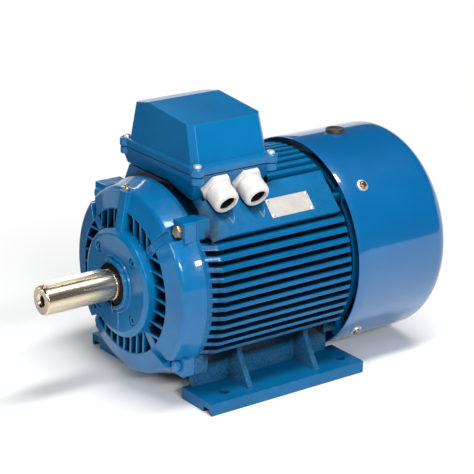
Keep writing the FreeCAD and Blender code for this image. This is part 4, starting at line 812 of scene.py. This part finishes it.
def cowlTree(s):
    tree, given = newTree("slottedCowl", [("Profile", "Object"), ("Spokes", "Int"), ("Sector Steps", "Int"),
                                          ("Spoke Width", "Float"), ("Material", "Material")])
    profile = put(tree, "GeometryNodeObjectInfo", [("Object", given["Profile"])], out="Geometry")
    rows = put(tree, "GeometryNodeAttributeDomainSize", [("Geometry", profile)], out="Point Count")
    columns = calc(tree, "ADD", calc(tree, "MULTIPLY", given["Spokes"], given["Sector Steps"]), 1.0)
    grid = put(tree, "GeometryNodeMeshGrid", [("Vertices X", columns), ("Vertices Y", rows)])
    index = put(tree, "GeometryNodeInputIndex")
    column, row = wholeAndRest(tree, index, rows)
    along, slotted, radius = profilePoint(tree, profile, row)
    # the first and last step of each sector follow the straight side of a spoke
    sector, step = wholeAndRest(tree, column, given["Sector Steps"])
    wedge = calc(tree, "DIVIDE", math.tau, given["Spokes"])
    lean = calc(tree, "DIVIDE", calc(tree, "MULTIPLY", given["Spoke Width"], 0.5), radius)
    side = calc(tree, "ARCSINE", calc(tree, "MINIMUM", s["spokeLimit"], lean))
    middleSteps = calc(tree, "SUBTRACT", given["Sector Steps"], 2.0)
    inner = calc(tree, "DIVIDE", calc(tree, "SUBTRACT", step, 1.0), middleSteps)
    inner = calc(tree, "MULTIPLY", inner, calc(tree, "SUBTRACT", wedge, calc(tree, "MULTIPLY", side, 2.0)))
    started = calc(tree, "GREATER_THAN", step, 0.5)
    angle = calc(tree, "MULTIPLY", started, calc(tree, "ADD", side, inner))
    angle = calc(tree, "ADD", angle, calc(tree, "MULTIPLY", sector, wedge))
    place = put(tree, "ShaderNodeCombineXYZ",
                [("X", along), ("Y", calc(tree, "MULTIPLY", radius, calc(tree, "SINE", angle))),
                 ("Z", calc(tree, "MULTIPLY", radius, calc(tree, "COSINE", angle)))])
    moved = put(tree, "GeometryNodeSetPosition", [("Geometry", grid), ("Position", place)])
    # face number gives strip and step; slotted strips lose all faces but those of the spokes
    faceColumn, faceRow = wholeAndRest(tree, index, calc(tree, "SUBTRACT", rows, 1.0))
    faceSlotted = profilePoint(tree, profile, faceRow)["Y"]
    faceStep = wholeAndRest(tree, faceColumn, given["Sector Steps"])[1]
    pastSpoke = calc(tree, "GREATER_THAN", faceStep, 0.5)
    beforeSpoke = calc(tree, "LESS_THAN", faceStep, calc(tree, "SUBTRACT", given["Sector Steps"], 1.5))
    between = calc(tree, "MULTIPLY", pastSpoke, beforeSpoke)
    slot = calc(tree, "MULTIPLY", calc(tree, "GREATER_THAN", faceSlotted, 0.5), between)
    opened = put(tree, "GeometryNodeDeleteGeometry", [("Geometry", moved), ("Selection", slot)],
                 domain="FACE", mode="ALL")
    closed = put(tree, "GeometryNodeMergeByDistance", [("Geometry", opened), ("Distance", merge)])
    endTree(tree, closed, given["Material"])
    return tree


def closeBoss(work, s):
    # a round face fills the boss, all faces turn outwards, and the skin goes up to the shaft line
    nearBoss = (s["boss"] + 0.5) * mm
    rim = [e for e in work.edges if e.is_boundary
           and all(abs(v.co.x - s["back"] * mm) < merge and v.co.yz.length < nearBoss for v in e.verts)]
    bmesh.ops.contextual_create(work, geom=rim)
    turnFacesOut(work)
    wall = max(work.faces, key=lambda f: f.calc_center_median().x)
    middle = wall.calc_center_median()
    if wall.normal.dot(Vector((0, middle.y, middle.z))) < 0:
        bmesh.ops.reverse_faces(work, faces=work.faces)
    bmesh.ops.translate(work, verts=work.verts, vec=(0, 0, shaftZ))


def makeCowl(s):
    outline = [(x * mm, flag, r * mm) for x, r, flag in cowlOutline(s)]
    piece = runTree("pressedCowl", cowlTree(s), bpy.data.meshes.new("pressedCowl"), outline,
                    {"Spokes": s["spokes"], "Sector Steps": s["sectorSteps"],
                     "Spoke Width": s["spokeWidth"] * mm, "Material": finishes[slotOf[s["node"]]]})
    editMesh(piece.data, closeBoss, s)
    sheet = piece.modifiers.new("sheet", "SOLIDIFY")
    sheet.thickness = s["sheet"] * mm
    sheet.offset = -1
    sheet.use_even_offset = True
    roundEdges(piece, s["edgeRadius"], s["edgeAngle"], True)
    applyAll(piece)
    smoothBy(piece.data, s["smooth"])
    finishPiece(piece, s["node"])
    print("pressed cowl,", len(piece.data.polygons), "faces")


makeCowl(cowl)

scene.view_settings.view_transform = "Standard"
